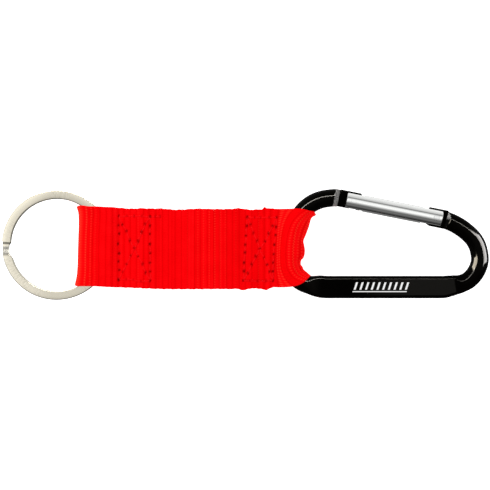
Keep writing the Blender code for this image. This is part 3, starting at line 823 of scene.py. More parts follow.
# ---------------------------------------------------------------- gate
def gate():
    profile = []
    for i in range(7):
        angle = radians(15 * i)
        inset = GATE_EDGE_R * (1 - sin(angle))
        radius = GATE_R - GATE_EDGE_R * (1 - cos(angle))
        profile += [(-GATE_TAIL + inset, radius), (GATE_NOSE - inset, radius)]
    ob = lathe("gate_finish", sorted(profile), SATIN, 112)
    tools = [lathe("t_bore", ((BORE_START, BORE_R), (BORE_END, BORE_R)), SATIN, 64)]
    for name, x0, x1 in (("t_slot_a", -GATE_TAIL - 2, HINGE_SLOT_DEPTH),
                         ("t_slot_b", LATCH_SLOT_START, GATE_NOSE + 2)):
        tools.append(plate(name, ((x0, -4), (x1, -4), (x1, 4), (x0, 4)),
                           -SLOT_T / 2, SLOT_T / 2, SATIN))
    for name, x, radius in (("t_pin_a", 0.0, RIVET_R + 0.035),
                            ("t_pin_b", LATCH_PIN_AT, LATCH_PIN_R + 0.012)):
        tools.append(lathe(name, ((-4, radius), (4, radius)), SATIN, 48, "Z", (x, 0, 0)))
    boolean(ob, tools)
    ob.matrix_world = GATE_FRAME
    place(ob, "gate_satin", "gate", "gate")


gate()


def cross_pin(name, x, radius, material, body, node):
    """A pin ground flush with the gate's round side."""
    ob = lathe(name, ((-GATE_R - 1, radius), (GATE_R + 1, radius)), material, 48, "Z", (x, 0, 0))
    skin_r = GATE_R - 0.012
    skin = lathe("t_skin", ((x - 2, skin_r), (x + 2, skin_r)), material, 128)
    boolean(ob, [skin], "INTERSECT")
    ob.matrix_world = GATE_FRAME
    place(ob, "pin_steel", body, node)


cross_pin("hinge_rivet_finish", 0.0, RIVET_R, PIN_STEEL, "carabiner", "hinge_rivet")
cross_pin("latch_pin_finish", LATCH_PIN_AT, LATCH_PIN_R, SATIN, "gate", "latch_pin")


def plunger():
    tip = CAM_R0 + PLUNGER_GAP
    profile = [(tip + PLUNGER_R * (1 - cos(radians(angle))), PLUNGER_R * sin(radians(angle)))
               for angle in range(6, 91, 6)]
    profile += [(PLUNGER_BACK - 0.2, PLUNGER_R), (PLUNGER_BACK - 0.06, PLUNGER_R - 0.06),
                (PLUNGER_BACK, PLUNGER_R - 0.2)]
    ob = lathe("plunger_finish", profile, PIN_STEEL, 64)
    ob.matrix_world = GATE_FRAME
    place(ob, "pin_steel", "plunger", "spring_plunger")


plunger()


def spring():
    x0 = PLUNGER_BACK + SPRING_GAP + SPRING_WIRE_R
    x1 = BORE_END - SPRING_GAP - SPRING_WIRE_R
    count = SPRING_TURNS * 36
    end_pitch = 0.42                   # pitch of the closed half turn at each end
    turn = 1.0 / SPRING_TURNS
    half_turn = turn * 0.5
    round_wire = np.linspace(0, 2 * pi, 12, endpoint=False)
    rings = []
    for i in range(count + 1):
        t = i / count
        angle = 2 * pi * SPRING_TURNS * t
        stretch = min(1.0, max(0.0, (t - half_turn) / (1 - turn)))
        x = (x0 + end_pitch * min(t / half_turn, 1.0) * 0.5 + (x1 - x0 - end_pitch) * stretch
             + end_pitch * max(0.0, (t - 1 + half_turn) / half_turn) * 0.5)
        centre = np.array((x, SPRING_R * cos(angle), SPRING_R * sin(angle)))
        out = np.array((0, cos(angle), sin(angle)))
        rings.append(centre + SPRING_WIRE_R * (np.outer(np.cos(round_wire), out)
                                               + np.outer(np.sin(round_wire), (1, 0, 0))))
    ob = loft("gate_spring_finish", rings, SPRING_STEEL)
    ob.data.transform(GATE_FRAME)
    place(ob, "spring_steel", "gate", "gate_spring")
    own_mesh(ob)


spring()


# ---------------------------------------------------------------- split ring
def split_ring():
    """Two turns of flat wire that cross over by the far side; angles in degrees."""
    start, cross_start, cross_end, end = -164.0, 179.5, 193.5, 536.2
    count = int((end - start) / 1.6)
    rings = []
    for i in range(count + 1):
        angle = start + (end - start) * i / count
        lift = float(smooth01((angle - cross_start) / (cross_end - cross_start))) - 0.5
        # the crossover is pinched on its inner side
        pinch = 0.42 * RING_HALF_W * float(smooth01((angle - 177.5) / 2.5)
                                           * (1 - smooth01((angle - 190.5) / 4.5)))
        wire = section(RING_HALF_W - pinch / 2, RING_COIL_T / 2, 0.30, per_corner=6)
        radius = RING_MEAN_R + pinch / 2 + wire[:, 0]
        rings.append(np.stack((radius * cos(radians(angle)), radius * sin(radians(angle)),
                               lift * RING_PITCH + wire[:, 1]), 1)
                     + np.array((RING_X, RING_Y, MID_Z)))
    place(loft("split_ring_finish", rings, NICKEL), "ring_nickel", "ring", "split_ring")


split_ring()


# ---------------------------------------------------------------- webbing's shape
LAYER_GAP = 0.03                 # from the strap's middle plane to each layer
HALF = WEB_T / 2 - LAYER_GAP     # half a layer, so that sewn layers don't touch
STEP = RIB / 9
SPLIT_B, SPLIT_A = -33 * RIB, -24 * RIB   # the strips' joints, each in a groove between ribs
COLUMNS = 84
# places across the strap, from -1 to 1, closer together at the selvedges
ACROSS = (np.sin(np.linspace(-pi / 2, pi / 2, COLUMNS)) * 0.25
          + np.linspace(-1, 1, COLUMNS) * 0.75)
RIB_H = 0.036
HOLE_DEPTH = 0.30


def curve(points):
    """A smooth function through control points (input, value)."""
    xs, ys = np.array(points, float).T
    order = np.argsort(xs)
    xs, ys = xs[order], ys[order]
    slopes = np.gradient(ys, xs)

    def value(x):
        x = np.clip(np.asarray(x, float), xs[0], xs[-1])
        k = np.clip(np.searchsorted(xs, x) - 1, 0, len(xs) - 2)
        h = xs[k + 1] - xs[k]
        t = (x - xs[k]) / h
        return ((2 * t**3 - 3 * t**2 + 1) * ys[k] + (t**3 - 2 * t**2 + t) * h * slopes[k]
                + (-2 * t**3 + 3 * t**2) * ys[k + 1] + (t**3 - t**2) * h * slopes[k + 1])
    return value


# the strap's edges: (x, y)
top_edge = curve([
    (-95.5, 25.0), (-92.5, 25.15), (-90.6, 24.8), (-88.8, 24.85), (-86.0, 24.72), (-83.1, 24.6),
    (-80.0, 24.3), (-77.5, 24.15), (-74.5, 24.3), (-72.0, 24.2), (-68.1, 24.2), (-64.4, 23.87),
    (-61.5, 23.9), (-58.0, 24.15), (-52.0, 24.05), (-49.4, 24.03), (-46.5, 24.1), (-43.8, 24.28),
    (-41.0, 23.87), (-38.5, 23.9), (-36.2, 24.0), (-34.4, 24.3), (-32.5, 24.05), (-30.6, 23.85),
    (-28.0, 24.12)])
low_edge = curve([
    (-95.5, 0.65), (-88.0, 0.6), (-84.0, 0.33), (-80.0, 0.2), (-76.0, 0.03), (-68.0, -0.28),
    (-58.0, -0.33), (-50.0, -0.28), (-47.0, -0.3), (-45.5, -0.25), (-42.5, -0.2), (-40.0, -0.1),
    (-36.5, -0.15), (-33.0, 0.25), (-30.6, 0.6), (-28.0, 0.9)])
# the same edges where the cloth wraps the carabiner: (x, y)
wrap_low_edge = curve([
    (-32.0, 0.35), (-30.6, 0.6), (-28.8, 0.85), (-26.5, 1.0), (-24.7, 1.35), (-23.3, 2.5),
    (-22.1, 3.8), (-20.7, 6.0)])
wrap_top_edge = curve([
    (-32.0, 24.05), (-30.0, 23.9), (-27.8, 24.12), (-24.3, 24.05), (-22.5, 23.6), (-20.8, 23.2),
    (-20.2, 22.7), (-19.9, 22.1), (-19.5, 21.3), (-18.5, 20.4)])
# outline of the bunched cloth inside the carabiner: (y, x)
wrap_rim = curve([
    (3.0, -20.9), (3.8, -21.9), (4.7, -22.9), (5.5, -23.85), (6.3, -24.15), (7.2, -25.1),
    (8.0, -25.75), (8.5, -25.2), (9.2, -23.8), (10.3, -23.4), (11.4, -23.35), (12.6, -23.6),
    (14.2, -23.95), (15.4, -23.6), (17.0, -22.85), (18.9, -22.2), (20.0, -21.9), (21.4, -21.5),
    (22.0, -21.0), (22.35, -20.05), (22.9, -20.5), (23.6, -20.7), (24.5, -21.2)])
# where the strap's middle surface turns inside the ring: (y, x)
fold_line = curve([
    (0.4, -95.1), (1.0, -94.95), (2.9, -94.47), (5.4, -94.17), (10.1, -94.0), (14.8, -93.85),
    (21.7, -93.75), (23.5, -93.88), (24.2, -94.05), (24.8, -94.4), (25.6, -94.55)])


def edge_bits(x, side):
    """Small frays and bumps along the selvedges; side is +1 at the top, -1 below."""
    bits = 0.05 * np.sin(x * 2.1 + side) + 0.035 * np.sin(x * 4.7 + 2 * side)
    # single bumps: (x, half length, height)
    bumps = ((-36.1, 0.55, 0.62),) if side > 0 else ((-42.6, 1.1, 0.5), (-35.7, 1.0, 0.55))
    for place_, length, height in bumps:
        bits = bits + height * np.exp(-((x - place_) / length) ** 2)
    return bits


def strip_y(x, across):
    top = top_edge(x) + edge_bits(x, 1.0)
    low = low_edge(x) - edge_bits(x, -1.0)
    return (top + low) / 2 + across * (top - low) / 2


def rib_height(along):
    """Low rounded ribs, each a little higher or lower than its neighbours."""
    row = np.floor(along / RIB)
    height = 0.6 + 0.8 * (np.sin(row * 12.9898) * 43758.5453 % 1.0)
    return RIB_H * (height * np.abs(np.sin(pi * along / RIB)) - 0.6)


# ---------------------------------------------------------------- needle holes
def seam_holes(top_left, top_right, low_right, low_left):
    """Needle holes of a box-X seam, as runs of points (x, y)."""
    corners = (top_left, top_right, low_right, low_left)
    tl, tr, br, bl = [np.array(corner, float) for corner in corners]
    runs = []
    for a, b, count in ((tl, bl, 7), (tr, br, 7), (tl, tr, 4), (bl, br, 4), (tl, br, 8), (bl, tr, 8)):
        runs.append([a + (b - a) * i / count for i in range(count + 1)])
    return runs


SEAM_B = seam_holes((-81.6, 22.1), (-71.75, 22.0), (-71.75, 2.05), (-81.65, 2.4))
SEAM_A = seam_holes((-41.45, 21.8), (-32.25, 21.7), (-33.45, 2.05), (-42.75, 2.1))
TACK = [[np.array(point) for point in ((-71.75, 22.0), (-70.1, 22.02), (-68.6, 22.05))]]
# how far each run's holes gape: side rows are pulled tight, rows along the strap hardly show
SEAM_PULL, TACK_PULL = (1.0, 1.0, 0.42, 0.42, 0.75, 0.75), (0.35,)
rng = np.random.default_rng(7)
for seam in (SEAM_A, SEAM_B):
    for run in seam:
        for k in range(1, len(run) - 1):
            run[k] = run[k] + rng.normal(0, 0.17, 2)
HOLES = np.array([point for seam in (SEAM_A, SEAM_B, TACK) for run in seam for point in run])
TIGHT = np.array([pull
                  for seam, pulls in ((SEAM_A, SEAM_PULL), (SEAM_B, SEAM_PULL), (TACK, TACK_PULL))
                  for run, pull in zip(seam, pulls) for _ in run])
TIGHT = TIGHT * rng.uniform(0.8, 1.3, len(HOLES))
WIDTH = rng.uniform(0.75, 1.3, (len(HOLES), 2))
# grooves pressed along the seams, which also get painted shade: (start, end, half width, depth)
GROOVES = (((-42.6, 2.1), (-33.5, 2.05), 0.17, 0.36), ((-32.75, 10.5), (-33.4, 2.3), 0.26, 0.34),
           ((-42.3, 12.0), (-42.7, 2.4), 0.16, 0.16), ((-71.75, 9.0), (-71.75, 4.0), 0.16, 0.14))


def hole_mask(x, y):
    """How deep the cloth is pulled in, from 0 to 1."""
    mask = np.zeros_like(x)
    for (ax, ay), (bx, by), half_w, depth in GROOVES:
        dx, dy = bx - ax, by - ay
        t = np.clip(((x - ax) * dx + (y - ay) * dy) / (dx * dx + dy * dy), 0, 1)
        distance = np.hypot(x - ax - t * dx, y - ay - t * dy)
        mask = np.maximum(mask, depth * np.exp(-(distance / half_w) ** 2))
    for (hx, hy), tight, (wide, high) in zip(HOLES, TIGHT, WIDTH):
        square = ((x - hx) / (0.36 * wide)) ** 2 + ((y - hy) / (0.52 * high)) ** 2
        mask = np.maximum(mask, np.exp(-square ** 1.5) * tight)
    return np.clip(mask, 0.0, 1.0)


# ---------------------------------------------------------------- webbing strips
# two bodies and two places given for each object, handed to blend(), which only bakes the object's
# transform
CARABINER_BLEND = ("carabiner", "strap_carabiner_half", (-24.6, 12.3, MID_Z), (-32.3, 12.3, MID_Z))
MIDDLE_BLEND = ("strap_carabiner_half", "strap_ring_half",
                (-51.0, 12.3, MID_Z), (-62.2, 12.3, MID_Z))
RING_BLEND = ("strap_ring_half", "ring_loop", (-80.2, 12.9, MID_Z), (-83.6, 12.9, MID_Z))
# angles of the points that round off a selvedge
EDGE_ARC = np.radians((60, 30, 0, -30, -60))
EDGE_R = 0.35


def blend(ob, first, second, start, end):
    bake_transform(ob)


def unit(vectors):
    return vectors / np.linalg.norm(vectors, axis=-1, keepdims=True)


def end_cap_faces(base, columns, flip):
    """Closes a strip's end; flip is for the last ring."""
    edge = len(EDGE_ARC)
    low = base + 2 * columns + edge - 1      # the first column's point underneath
    caps = [(base + j, base + j + 1, low - 1 - j, low - j) for j in range(columns - 1)]
    caps.append(tuple(base + k for k in range(columns - 1, columns + edge + 1)))
    caps.append(tuple(range(low, low + edge + 1)) + (base,))
    return [cap if flip else cap[::-1] for cap in caps]


def sheet(name, middle, along, half=None):
    """A woven strip round its middle surface, middle[row, column].

    along is each row's length coordinate, half the half thickness.
    """
    rows, columns = middle.shape[:2]
    crosswise = np.gradient(middle, axis=1)
    normal = unit(np.cross(np.gradient(middle, axis=0), crosswise))
    if half is None:
        half = np.full((rows, columns), HALF)
    mask = hole_mask(middle[..., 0], middle[..., 1])
    reach = (half + rib_height(along)[:, None] - HOLE_DEPTH * mask)[..., None]
    top = middle + normal * reach
    bottom = middle - normal * reach
    edge = len(EDGE_ARC)

    def selvedge(i, j, sign, angles):
        out = unit(sign * crosswise[i, j])
        return [middle[i, j] + out * EDGE_R * np.cos(a) + normal[i, j] * half[i, j] * np.sin(a)
                for a in angles]
    rings, hole = [], []
    for i in range(rows):
        rings.append(np.concatenate((top[i], selvedge(i, -1, 1, EDGE_ARC), bottom[i, ::-1],
                                     selvedge(i, 0, -1, EDGE_ARC[::-1]))))
        hole.append(np.concatenate((mask[i], np.zeros(edge), mask[i, ::-1], np.zeros(edge))))
    count = len(rings[0])
    across = np.concatenate((ACROSS * 12.3, np.full(edge, 12.6),
                             ACROSS[::-1] * 12.3, np.full(edge, -12.6)))
    faces = (loft_faces(rows, count, caps=False) + end_cap_faces(0, columns, False)
             + end_cap_faces((rows - 1) * count, columns, True))
    ob = mesh_object(name, np.concatenate(rings), faces, WEB)
    for key, values in (("along", np.repeat(along, count)), ("across", np.tile(across, rows)),
                        ("hole", np.concatenate(hole))):
        attribute = ob.data.attributes.new(key, "FLOAT", "POINT")
        attribute.data.foreach_set("value", values.astype(np.float32))
    face_outward(ob.data, recalculate=False)
    shade(ob.data, angle=70)
    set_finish(ob, "webbing_red")
    return ob


def flat_rows(x_start, x_end, back=False):
    """Rows of the flat front layer, or of the back one."""
    count = int(round(abs(x_end - x_start) / STEP))
    x = np.linspace(x_start, x_end, count + 1)[:, None]
    rows = np.zeros((count + 1, COLUMNS, 3))
    rows[..., 0] = x
    rows[..., 1] = strip_y(x, ACROSS)
    if back:
        rows[..., 2] = MID_Z - HALF - LAYER_GAP
    else:
        # slight waviness of the single layer between the seams
        wave = 0.10 * np.sin((x + 56) / 5.5) * np.exp(-((x + 56.9) / 9.0) ** 2)
        rows[..., 2] = MID_Z + (HALF + LAYER_GAP + wave)
    return rows


def lengths(middle):
    """Length from the first row to each row, along the middle column."""
    steps = np.linalg.norm(np.diff(middle[:, COLUMNS // 2], axis=0), axis=1)
    return np.r_[0, np.cumsum(steps)]


def relax(middle, start, end, times, push):
    """Evens out the rows from start to end, pushing the cloth clear each time."""
    for _ in range(times):
        before, after, here = middle[start - 1:end - 1], middle[start + 1:end + 1], middle[start:end]
        new = middle.copy()
        new[start:end, 1:-1] = (before[:, 1:-1] + after[:, 1:-1]
                                + here[:, :-2] + here[:, 2:] + 2 * here[:, 1:-1]) / 6
        for j in (0, -1):
            new[start:end, j] = (before[:, j] + after[:, j] + 2 * here[:, j]) / 4
        middle = push(new)
    return middle


def middle_strip():
    rows = flat_rows(SPLIT_B, SPLIT_A)
    blend(sheet("webbing_middle", rows, rows[:, 0, 0]), *MIDDLE_BLEND)


middle_strip()

ROD_PATH = np.concatenate((np.stack((np.linspace(0, SPINE_X0, 90), np.zeros(90)), 1),
                           WIDE[1:, :2]))


def clear_of_rod(middle, least):
    """Pushes points away from the rod's centre line to at least that distance."""
    flat = middle.reshape(-1, 3)
    need = least.reshape(-1)
    best = np.full(len(flat), 1e9)
    near = np.zeros((len(flat), 2))
    for station in ROD_PATH[::2]:
        square = (flat[:, 0] - station[0]) ** 2 + (flat[:, 1] - station[1]) ** 2
        closer = square < best
        best[closer] = square[closer]
        near[closer] = station
    out = flat.copy()
    out[:, :2] -= near
    out[:, 2] -= MID_Z
    distance = np.linalg.norm(out, axis=1)
    out *= np.where(distance < need, need / np.maximum(distance, 1e-6), 1.0)[:, None]
    out[:, :2] += near
    out[:, 2] += MID_Z
    return out.reshape(middle.shape)


def rod_at(run):
    """Centre line point and inward normal of the wide end at a run length."""
    x, y, heading = [np.interp(run, WIDE[:, 3], WIDE[:, i]) for i in range(3)]
    heading = np.radians(heading)
    return np.stack((x, y), -1), np.stack((np.sin(heading), -np.cos(heading)), -1)


def rod_wrap_rows():
    """Rows that wrap the rod from front to back, and their half thickness."""
    wrap_r = ROD_R + 0.12 + HALF
    # angle at which each column leaves the rod: 90 is the front, 0 the inner side
    leave = 97 + 35 * (1 - np.abs(ACROSS) ** 2.2)
    count = int(round(wrap_r * radians(250) / STEP))
    runs = np.linspace(0.0, 40.0, 1601)
    centres, normals = rod_at(runs)

    def crossing(angle, start, end, line):
        """Run at which the cloth at that wrap angle crosses an edge line."""
        part = (runs >= start) & (runs <= end)
        points = centres[part] + wrap_r * cos(radians(angle)) * normals[part]
        above = points[:, 1] > line(points[:, 0])
        return float(runs[part][int(np.argmax(above))])
    rows = np.zeros((count + 1, COLUMNS, 3))
    halves = np.full((count + 1, COLUMNS), HALF)
    reach = np.linspace(2.9, 8.0, 256)
    for i in range(count + 1):
        angle = leave * (1 - 2 * i / count)
        cosine, sine = np.cos(np.radians(angle)), np.sin(np.radians(angle))
        low = crossing(float(angle[0]), 0.5, 14.0, wrap_low_edge)
        high = crossing(float(angle[0]), 24.5, 40.0, wrap_top_edge)
        centre, normal = rod_at(low + (high - low) * (ACROSS + 1) / 2)
        # distance from the rod's centre line to the outline, along the inward normal
        x = centre[:, None, 0] + reach * normal[:, None, 0]
        y = centre[:, None, 1] + reach * normal[:, None, 1]
        out = x > wrap_rim(y)
        outline = np.where(out.any(axis=1), reach[np.argmax(out, axis=1)], 3.9)
        front = np.clip(cosine, 0, 1)
        inside = front ** 1.3
        half = np.clip((outline - ROD_R - 0.10) / 2, 0.18, HALF)
        half = HALF + (half - HALF) * inside
        halves[i] = half
        middle_r = np.maximum(outline - half, ROD_R + 0.08 + half)
        radius = wrap_r + (middle_r - wrap_r) * inside
        # small gathers across the cloth
        radius = radius + (0.07 * front * np.sin(ACROSS * 23.0 + 1.3)
                           * np.exp(-((angle - 40) / 50) ** 2))
        rows[i, :, :2] = centre + (radius * cosine)[:, None] * normal
        rows[i, :, 2] = MID_Z + radius * sine
    return rows, halves


def bridge(start, start_dir, end, end_dir, count):
    """Rows of a smooth span between two rows."""
    length = np.linalg.norm(end - start, axis=1, keepdims=True)
    rows = np.zeros((count + 1, COLUMNS, 3))
    for i in range(count + 1):
        t = i / count
        rows[i] = ((2 * t**3 - 3 * t**2 + 1) * start + (t**3 - 2 * t**2 + t) * length * start_dir
                   + (-2 * t**3 + 3 * t**2) * end + (t**3 - t**2) * length * end_dir)
    return rows


def carabiner_strip():
    """The strap's end that wraps the wide end of the carabiner."""
    seam_x = -32.7
    count = int(round(3.6 / STEP))
    front = flat_rows(SPLIT_A, seam_x)
    wrap, wrap_half = rod_wrap_rows()
    back = flat_rows(seam_x, TAIL_A_X, back=True)
    to_wrap = bridge(front[-1], unit(front[-1] - front[-2]), wrap[0], unit(wrap[1] - wrap[0]), count)
    from_wrap = bridge(wrap[-1], unit(wrap[-1] - wrap[-2]), back[0], unit(back[1] - back[0]), count)
    middle = np.concatenate((front, to_wrap[1:], wrap[1:], from_wrap[1:], back[1:]))
    half = np.concatenate((np.full((len(front) + count - 1, COLUMNS), HALF), wrap_half,
                           np.full((count - 1 + len(back), COLUMNS), HALF)))

    def push(rows):
        return clear_of_rod(rows, ROD_R + 0.06 + half)
    middle = relax(push(middle), len(front), len(middle) - len(back) + 1, 14, push)
    ob = sheet("webbing_carabiner_wrap", middle, SPLIT_A + lengths(middle), half)
    blend(ob, *CARABINER_BLEND)
    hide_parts("webbing_carabiner_loop", "webbing_carabiner_end")


carabiner_strip()


def ring_strip():
    """The strap's end that wraps the ring, with the ring's arc between its layers."""
    seam_x = -81.0
    front = flat_rows(SPLIT_B, seam_x)
    fold = fold_line(strip_y(np.full(COLUMNS, -94.0), ACROSS))
    fold_half = 1.15 + 0.75 * np.abs(ACROSS) ** 3   # half height of the pocket by the fold
    ring_half = 1.75                                # and over the seam's end of the pocket
    fold_start = fold + fold_half
    # the pocket's front side
    count = int(round(11.4 / STEP))
    t = np.linspace(0, 1, count + 1)[:, None]
    pocket = np.zeros((count + 1, COLUMNS, 3))
    pocket[..., 0] = seam_x + (fold_start - seam_x) * t
    up, down = smooth01(t / 0.32), smooth01((t - 0.45) / 0.55)
    z = (HALF + LAYER_GAP) * (1 - up) + ring_half * up
    pocket[..., 2] = z * (1 - down) + fold_half * down
    pocket[..., 1] = strip_y(pocket[..., 0], ACROSS)
    # the fold itself
    count = int(round(pi * 1.4 / STEP))
    turn = np.zeros((count + 1, COLUMNS, 3))
    for i in range(count + 1):
        angle = radians(90 + 180 * i / count)
        turn[i, :, 0] = fold_start + (fold_start - fold) * cos(angle)
        turn[i, :, 2] = fold_half * sin(angle)
    turn[..., 1] = strip_y(turn[..., 0], ACROSS)
    under = pocket[::-1] * (1, 1, -1)
    loop = np.concatenate((pocket[1:], turn[1:], under[1:]))
    loop[..., 2] += MID_Z
    back = flat_rows(seam_x, TAIL_B_X, back=True)
    middle = np.concatenate((front, loop, back[1:]))
    start, end = len(front), len(middle) - len(back) + 1
    sign = np.where(np.arange(len(middle)) < (start + end) / 2, 1.0, -1.0)[:, None]

    def push(rows):
        """Keeps the fabric over the ring's wire, whose section is a rectangle."""
        radius = np.hypot(rows[..., 0] - RING_X, rows[..., 1] - RING_Y)
        gap = np.maximum(np.abs(radius - RING_MEAN_R) - RING_HALF_W, 0.0)
        reach = HALF + 0.10
        need = (RING_PITCH / 2 + RING_COIL_T / 2 - 0.02
                + reach * np.sqrt(np.clip(1 - (gap / reach) ** 2, 0, 1)))
        z = rows[..., 2] - MID_Z
        hit = gap < reach
        # the fold lies inside the ring and isn't lifted over the wire
        inner = (hit & (radius < RING_MEAN_R) & (np.abs(z) < need)
                 & (rows[..., 0] < fold + 0.75))
        over = hit & (sign * z < need) & ~inner
        out = rows.copy()
        out[..., 2] = np.where(over, MID_Z + sign * need, out[..., 2])
        return out
    middle = relax(push(middle), start, end, 24, push)
    ob = sheet("webbing_ring_wrap", middle, SPLIT_B - lengths(middle))
    blend(ob, *RING_BLEND)
    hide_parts("webbing_ring_loop", "webbing_ring_end")


ring_strip()


# ---------------------------------------------------------------- stitching
THREAD_R = 0.19
ARCH, DIP = 0.10, 0.42           # a stitch's rise between its holes, its drop into them


def stitch_rings(start, end, side):
    """Rings along one stitch; side is +1 on the front, -1 on the back."""
    around = np.linspace(0, 2 * pi, 10, endpoint=False)
    base_z = MID_Z + side * (2 * HALF + LAYER_GAP - 0.11)
    step = end - start
    length = float(np.hypot(*step))
    step = step / length
    normal = np.array((-step[1], step[0]))
    across = np.array((normal[0], normal[1], 0.0))
    sway = rng.normal(0, 0.05)
    count = 14
    rings = []
    for i in range(count + 1):
        t = i / count
        ends = abs(2 * t - 1)
        lift = ARCH * sin(pi * t) ** 0.5 - DIP * ends ** 9
        centre = start + step * (0.06 + (length - 0.12) * t) + normal * sway * sin(pi * t)
        slope = (ARCH * 0.5 * pi * cos(pi * t) / max(sin(pi * t), 0.15) ** 0.5
                 - DIP * 9 * 2 * ends ** 8 * (1 if t > 0.5 else -1)) / length
        up = np.cross(unit(np.array((step[0], step[1], slope * side))), across)
        radius = THREAD_R * (1 - 0.35 * ends ** 6)
        point = np.array((centre[0], centre[1], base_z + side * lift))
        rings.append([point + radius * cos(a) * across * 1.15 + radius * sin(a) * up * 0.85
                      for a in around])
    return rings


def stitches(name, runs, side, node, shared):
    """Lockstitches: each dips into its needle holes and arches between them."""
    points, faces = [], []
    for run in runs:
        for start, end in zip(run, run[1:]):
            rings = stitch_rings(start, end, side)
            faces += loft_faces(len(rings), len(rings[0]), base=len(points))
            for ring in rings:
                points += ring
    ob = mesh_object(name, points, faces, THREAD)
    face_outward(ob.data)
    shade(ob.data)
    points = np.array(points)
    # painted shade on the thread where it goes into the needle holes
    dark = 0.7 * hole_mask(points[:, 0], points[:, 1])
    attribute = ob.data.attributes.new("hole", "FLOAT", "POINT")
    attribute.data.foreach_set("value", dark.astype(np.float32))
    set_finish(ob, "thread_red")
    blend(ob, *shared)
    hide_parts(node)


for end_name, front_runs, back_runs, shared in (
        ("carabiner_end", SEAM_A, SEAM_A, CARABINER_BLEND),
        ("ring_end", SEAM_B + TACK, SEAM_B, RING_BLEND)):
    for kind, runs, side in (("needle", front_runs, 1), ("bobbin", back_runs, -1)):
        stitches(f"{kind}_stitches_{end_name}", runs, side, f"{kind}_thread_{end_name}", shared)


# ---------------------------------------------------------------- studio, in metres
def floor():
    """A pale floor just under the object."""
    half, z = 1.2, (MID_Z - 4.15) * MM
    mesh = bpy.data.meshes.new("studio_floor")
    corners = [(-half, -half, z), (half, -half, z), (half, half, z), (-half, half, z)]
    mesh.from_pydata(corners, [], [(0, 1, 2, 3)])
    ob = bpy.data.objects.new("studio_floor", mesh)
    COLL.objects.link(ob)
    material, graph = new_material("pale_floor")
    mottle = graph.noise(graph.position(scale=1.0), scale=40.0, detail=2.0)
    graph.surface({
        "Base Color": graph.ramp(mottle, [(0.3, (0.90, 0.90, 0.90)), (0.7, (0.92, 0.92, 0.92))]),
        "Roughness": 0.9,
        "Specular IOR Level": 0.0,
        "Emission Color": (1, 1, 1, 1),
        "Emission Strength": 0.95})
    # open from below, so that the object's back can be looked at
    opaque = Signal(graph, graph.bsdf.outputs[0])
    output = opaque.socket.links[0].to_socket
    seen = graph.node("MixShader", 0, inputs={
        0: graph.node("NewGeometry", "Backfacing"), 1: opaque,
        2: graph.node("BsdfTransparent", 0)})
    graph.tree.links.new(seen.socket, output)
    mesh.materials.append(material)
    ob.visible_glossy = False


floor()

# what metal mirrors: (degrees about X, 0 at +Z and 90 at +Y; brightness)
SKY = ((-180, 0.30), (-125, 0.22), (-100, 0.10), (-85, 0.05), (-72, 0.09), (-56, 0.20),
       (-43, 0.13), (-28, 0.34), (-13, 0.84), (-4, 1.16), (18, 1.16), (28, 0.76), (39, 0.25),
       (43, 0.25), (52, 0.57), (62, 0.74), (75, 0.85), (90, 0.96), (125, 1.10), (179, 0.40))


def world():
    """A soft studio.  Metal sees a light side (+Y) with a narrow gap between two
    panels, and a dark side (-Y); cloth sees an even grey."""
    studio = bpy.data.worlds.new("studio")
    bpy.context.scene.world = studio
    studio.use_nodes = True
    graph = Graph(studio.node_tree)
    _, y, z = graph.axes(graph.node("TexCoord", "Generated"))
    turn = y.math("ARCTAN2", z) * (1 / (2 * pi)) + 0.5
    mirrored = graph.ramp(turn, [(degrees / 360.0 + 0.5, (level, level, level * 0.992))
                                 for degrees, level in SKY])
    glossy, camera_ray = graph.node("LightPath", "Is Glossy Ray", "Is Camera Ray")
    lighting = graph.mix(glossy, (0.70, 0.70, 0.70, 1), mirrored)
    graph.put(studio.node_tree.nodes["Background"], {
        "Color": graph.mix(camera_ray, lighting, (0.93, 0.93, 0.93, 1)),
        "Strength": 1.0})


world()


def aim(ob, direction):
    ob.rotation_euler = Vector(direction).to_track_quat("-Z", "Y").to_euler()


def area(name, location, size, radiance, target, colour=(1, 1, 1)):
    light = bpy.data.lights.new(name, "AREA")
    light.shape = "RECTANGLE"
    light.size, light.size_y = size
    light.energy = radiance * pi * size[0] * size[1]
    light.color = colour
    ob = bpy.data.objects.new(name, light)
    COLL.objects.link(ob)
    ob.location = location
    aim(ob, Vector(target) - Vector(location))
    return ob


def softboxes():
    """Light for everything but mirrors."""
    for name, location, size, radiance in (
            ("key_softbox", (-0.60, 0.42, 0.46), (0.45, 0.45), 5.2),
            ("fill_softbox", (0.60, -0.20, 0.55), (0.4, 0.4), 3.2)):
        area(name, location, size, radiance, target=(-0.042, 0.013, 0.002)).visible_glossy = False


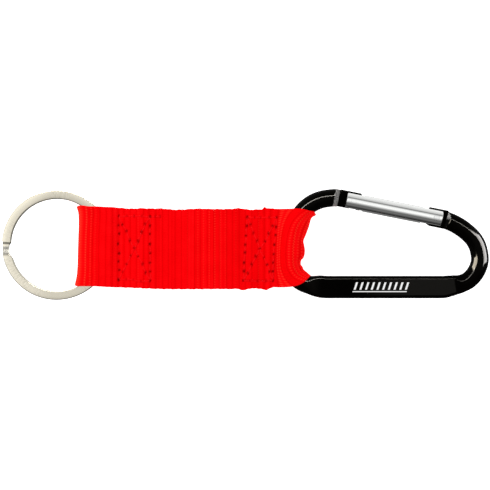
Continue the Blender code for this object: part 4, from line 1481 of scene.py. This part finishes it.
def receivers(name, prefix):
    """A collection of the objects whose names start that way."""
    collection = bpy.data.collections.new(name)
    for ob in bpy.data.objects:
        if ob.name.startswith(prefix):
            collection.objects.link(ob)
    return collection


def accent(collection, *args):
    """A light that only a collection's objects mirror."""
    ob = area(*args)
    ob.visible_diffuse = False
    ob.light_linking.receiver_collection = collection
    return ob


def rod_accents():
    rod_only = receivers("accent_receivers", "carabiner_body_finish")
    middle = (0.012, 0.013, 0.002)
    white, cool, warm = (1, 1, 1), (0.96, 0.96, 1.0), (1.0, 0.93, 0.80)
    # name, location, size, radiance, colour
    strip, *_ = [accent(rod_only, name, location, size, radiance, middle, colour)
                 for name, location, size, radiance, colour in (
        ("accent_strip", (-0.02, 0.34, 0.60), (1.1, 0.058), 380.0, white),
        ("accent_right", (0.60, 0.15, 0.27), (0.50, 0.56), 255.0, cool),
        ("accent_left", (-0.58, 0.15, 0.285), (0.46, 0.62), 300.0, warm))]
    # the long strip stays parallel to the X axis
    aim(strip, Vector((0, 0.013, 0.002)) - Vector((0, 0.34, 0.60)))


def ring_accent():
    """Lights the ring's edges that face +Y."""
    ring_only = receivers("ring_receivers", "split_ring_finish")
    accent(ring_only, "accent_ring", (-0.10, 0.62, 0.16), (0.7, 0.30), 8.0,
           (-0.10, 0.013, 0.002), (1.0, 0.98, 0.93))


def hide_cloth_from_mirrors():
    for ob in bpy.data.objects:
        if ob.type == "MESH" and any(m in (WEB, THREAD) for m in ob.data.materials):
            ob.visible_glossy = False


softboxes()
rod_accents()
ring_accent()
hide_cloth_from_mirrors()


def camera():
    """Looks straight down on the front."""
    lens = bpy.data.cameras.new("camera")
    lens.lens, lens.sensor_width = 100.0, 36.0
    lens.clip_start, lens.clip_end = 0.01, 20.0
    ob = bpy.data.objects.new("camera", lens)
    COLL.objects.link(ob)
    ob.location = (-0.0421875, 0.01315, 0.4273)
    ob.rotation_euler = (0, 0, 0)
    scene = bpy.context.scene
    scene.camera = ob
    scene.view_settings.view_transform = "Standard"
    scene.view_settings.look = "None"


camera()
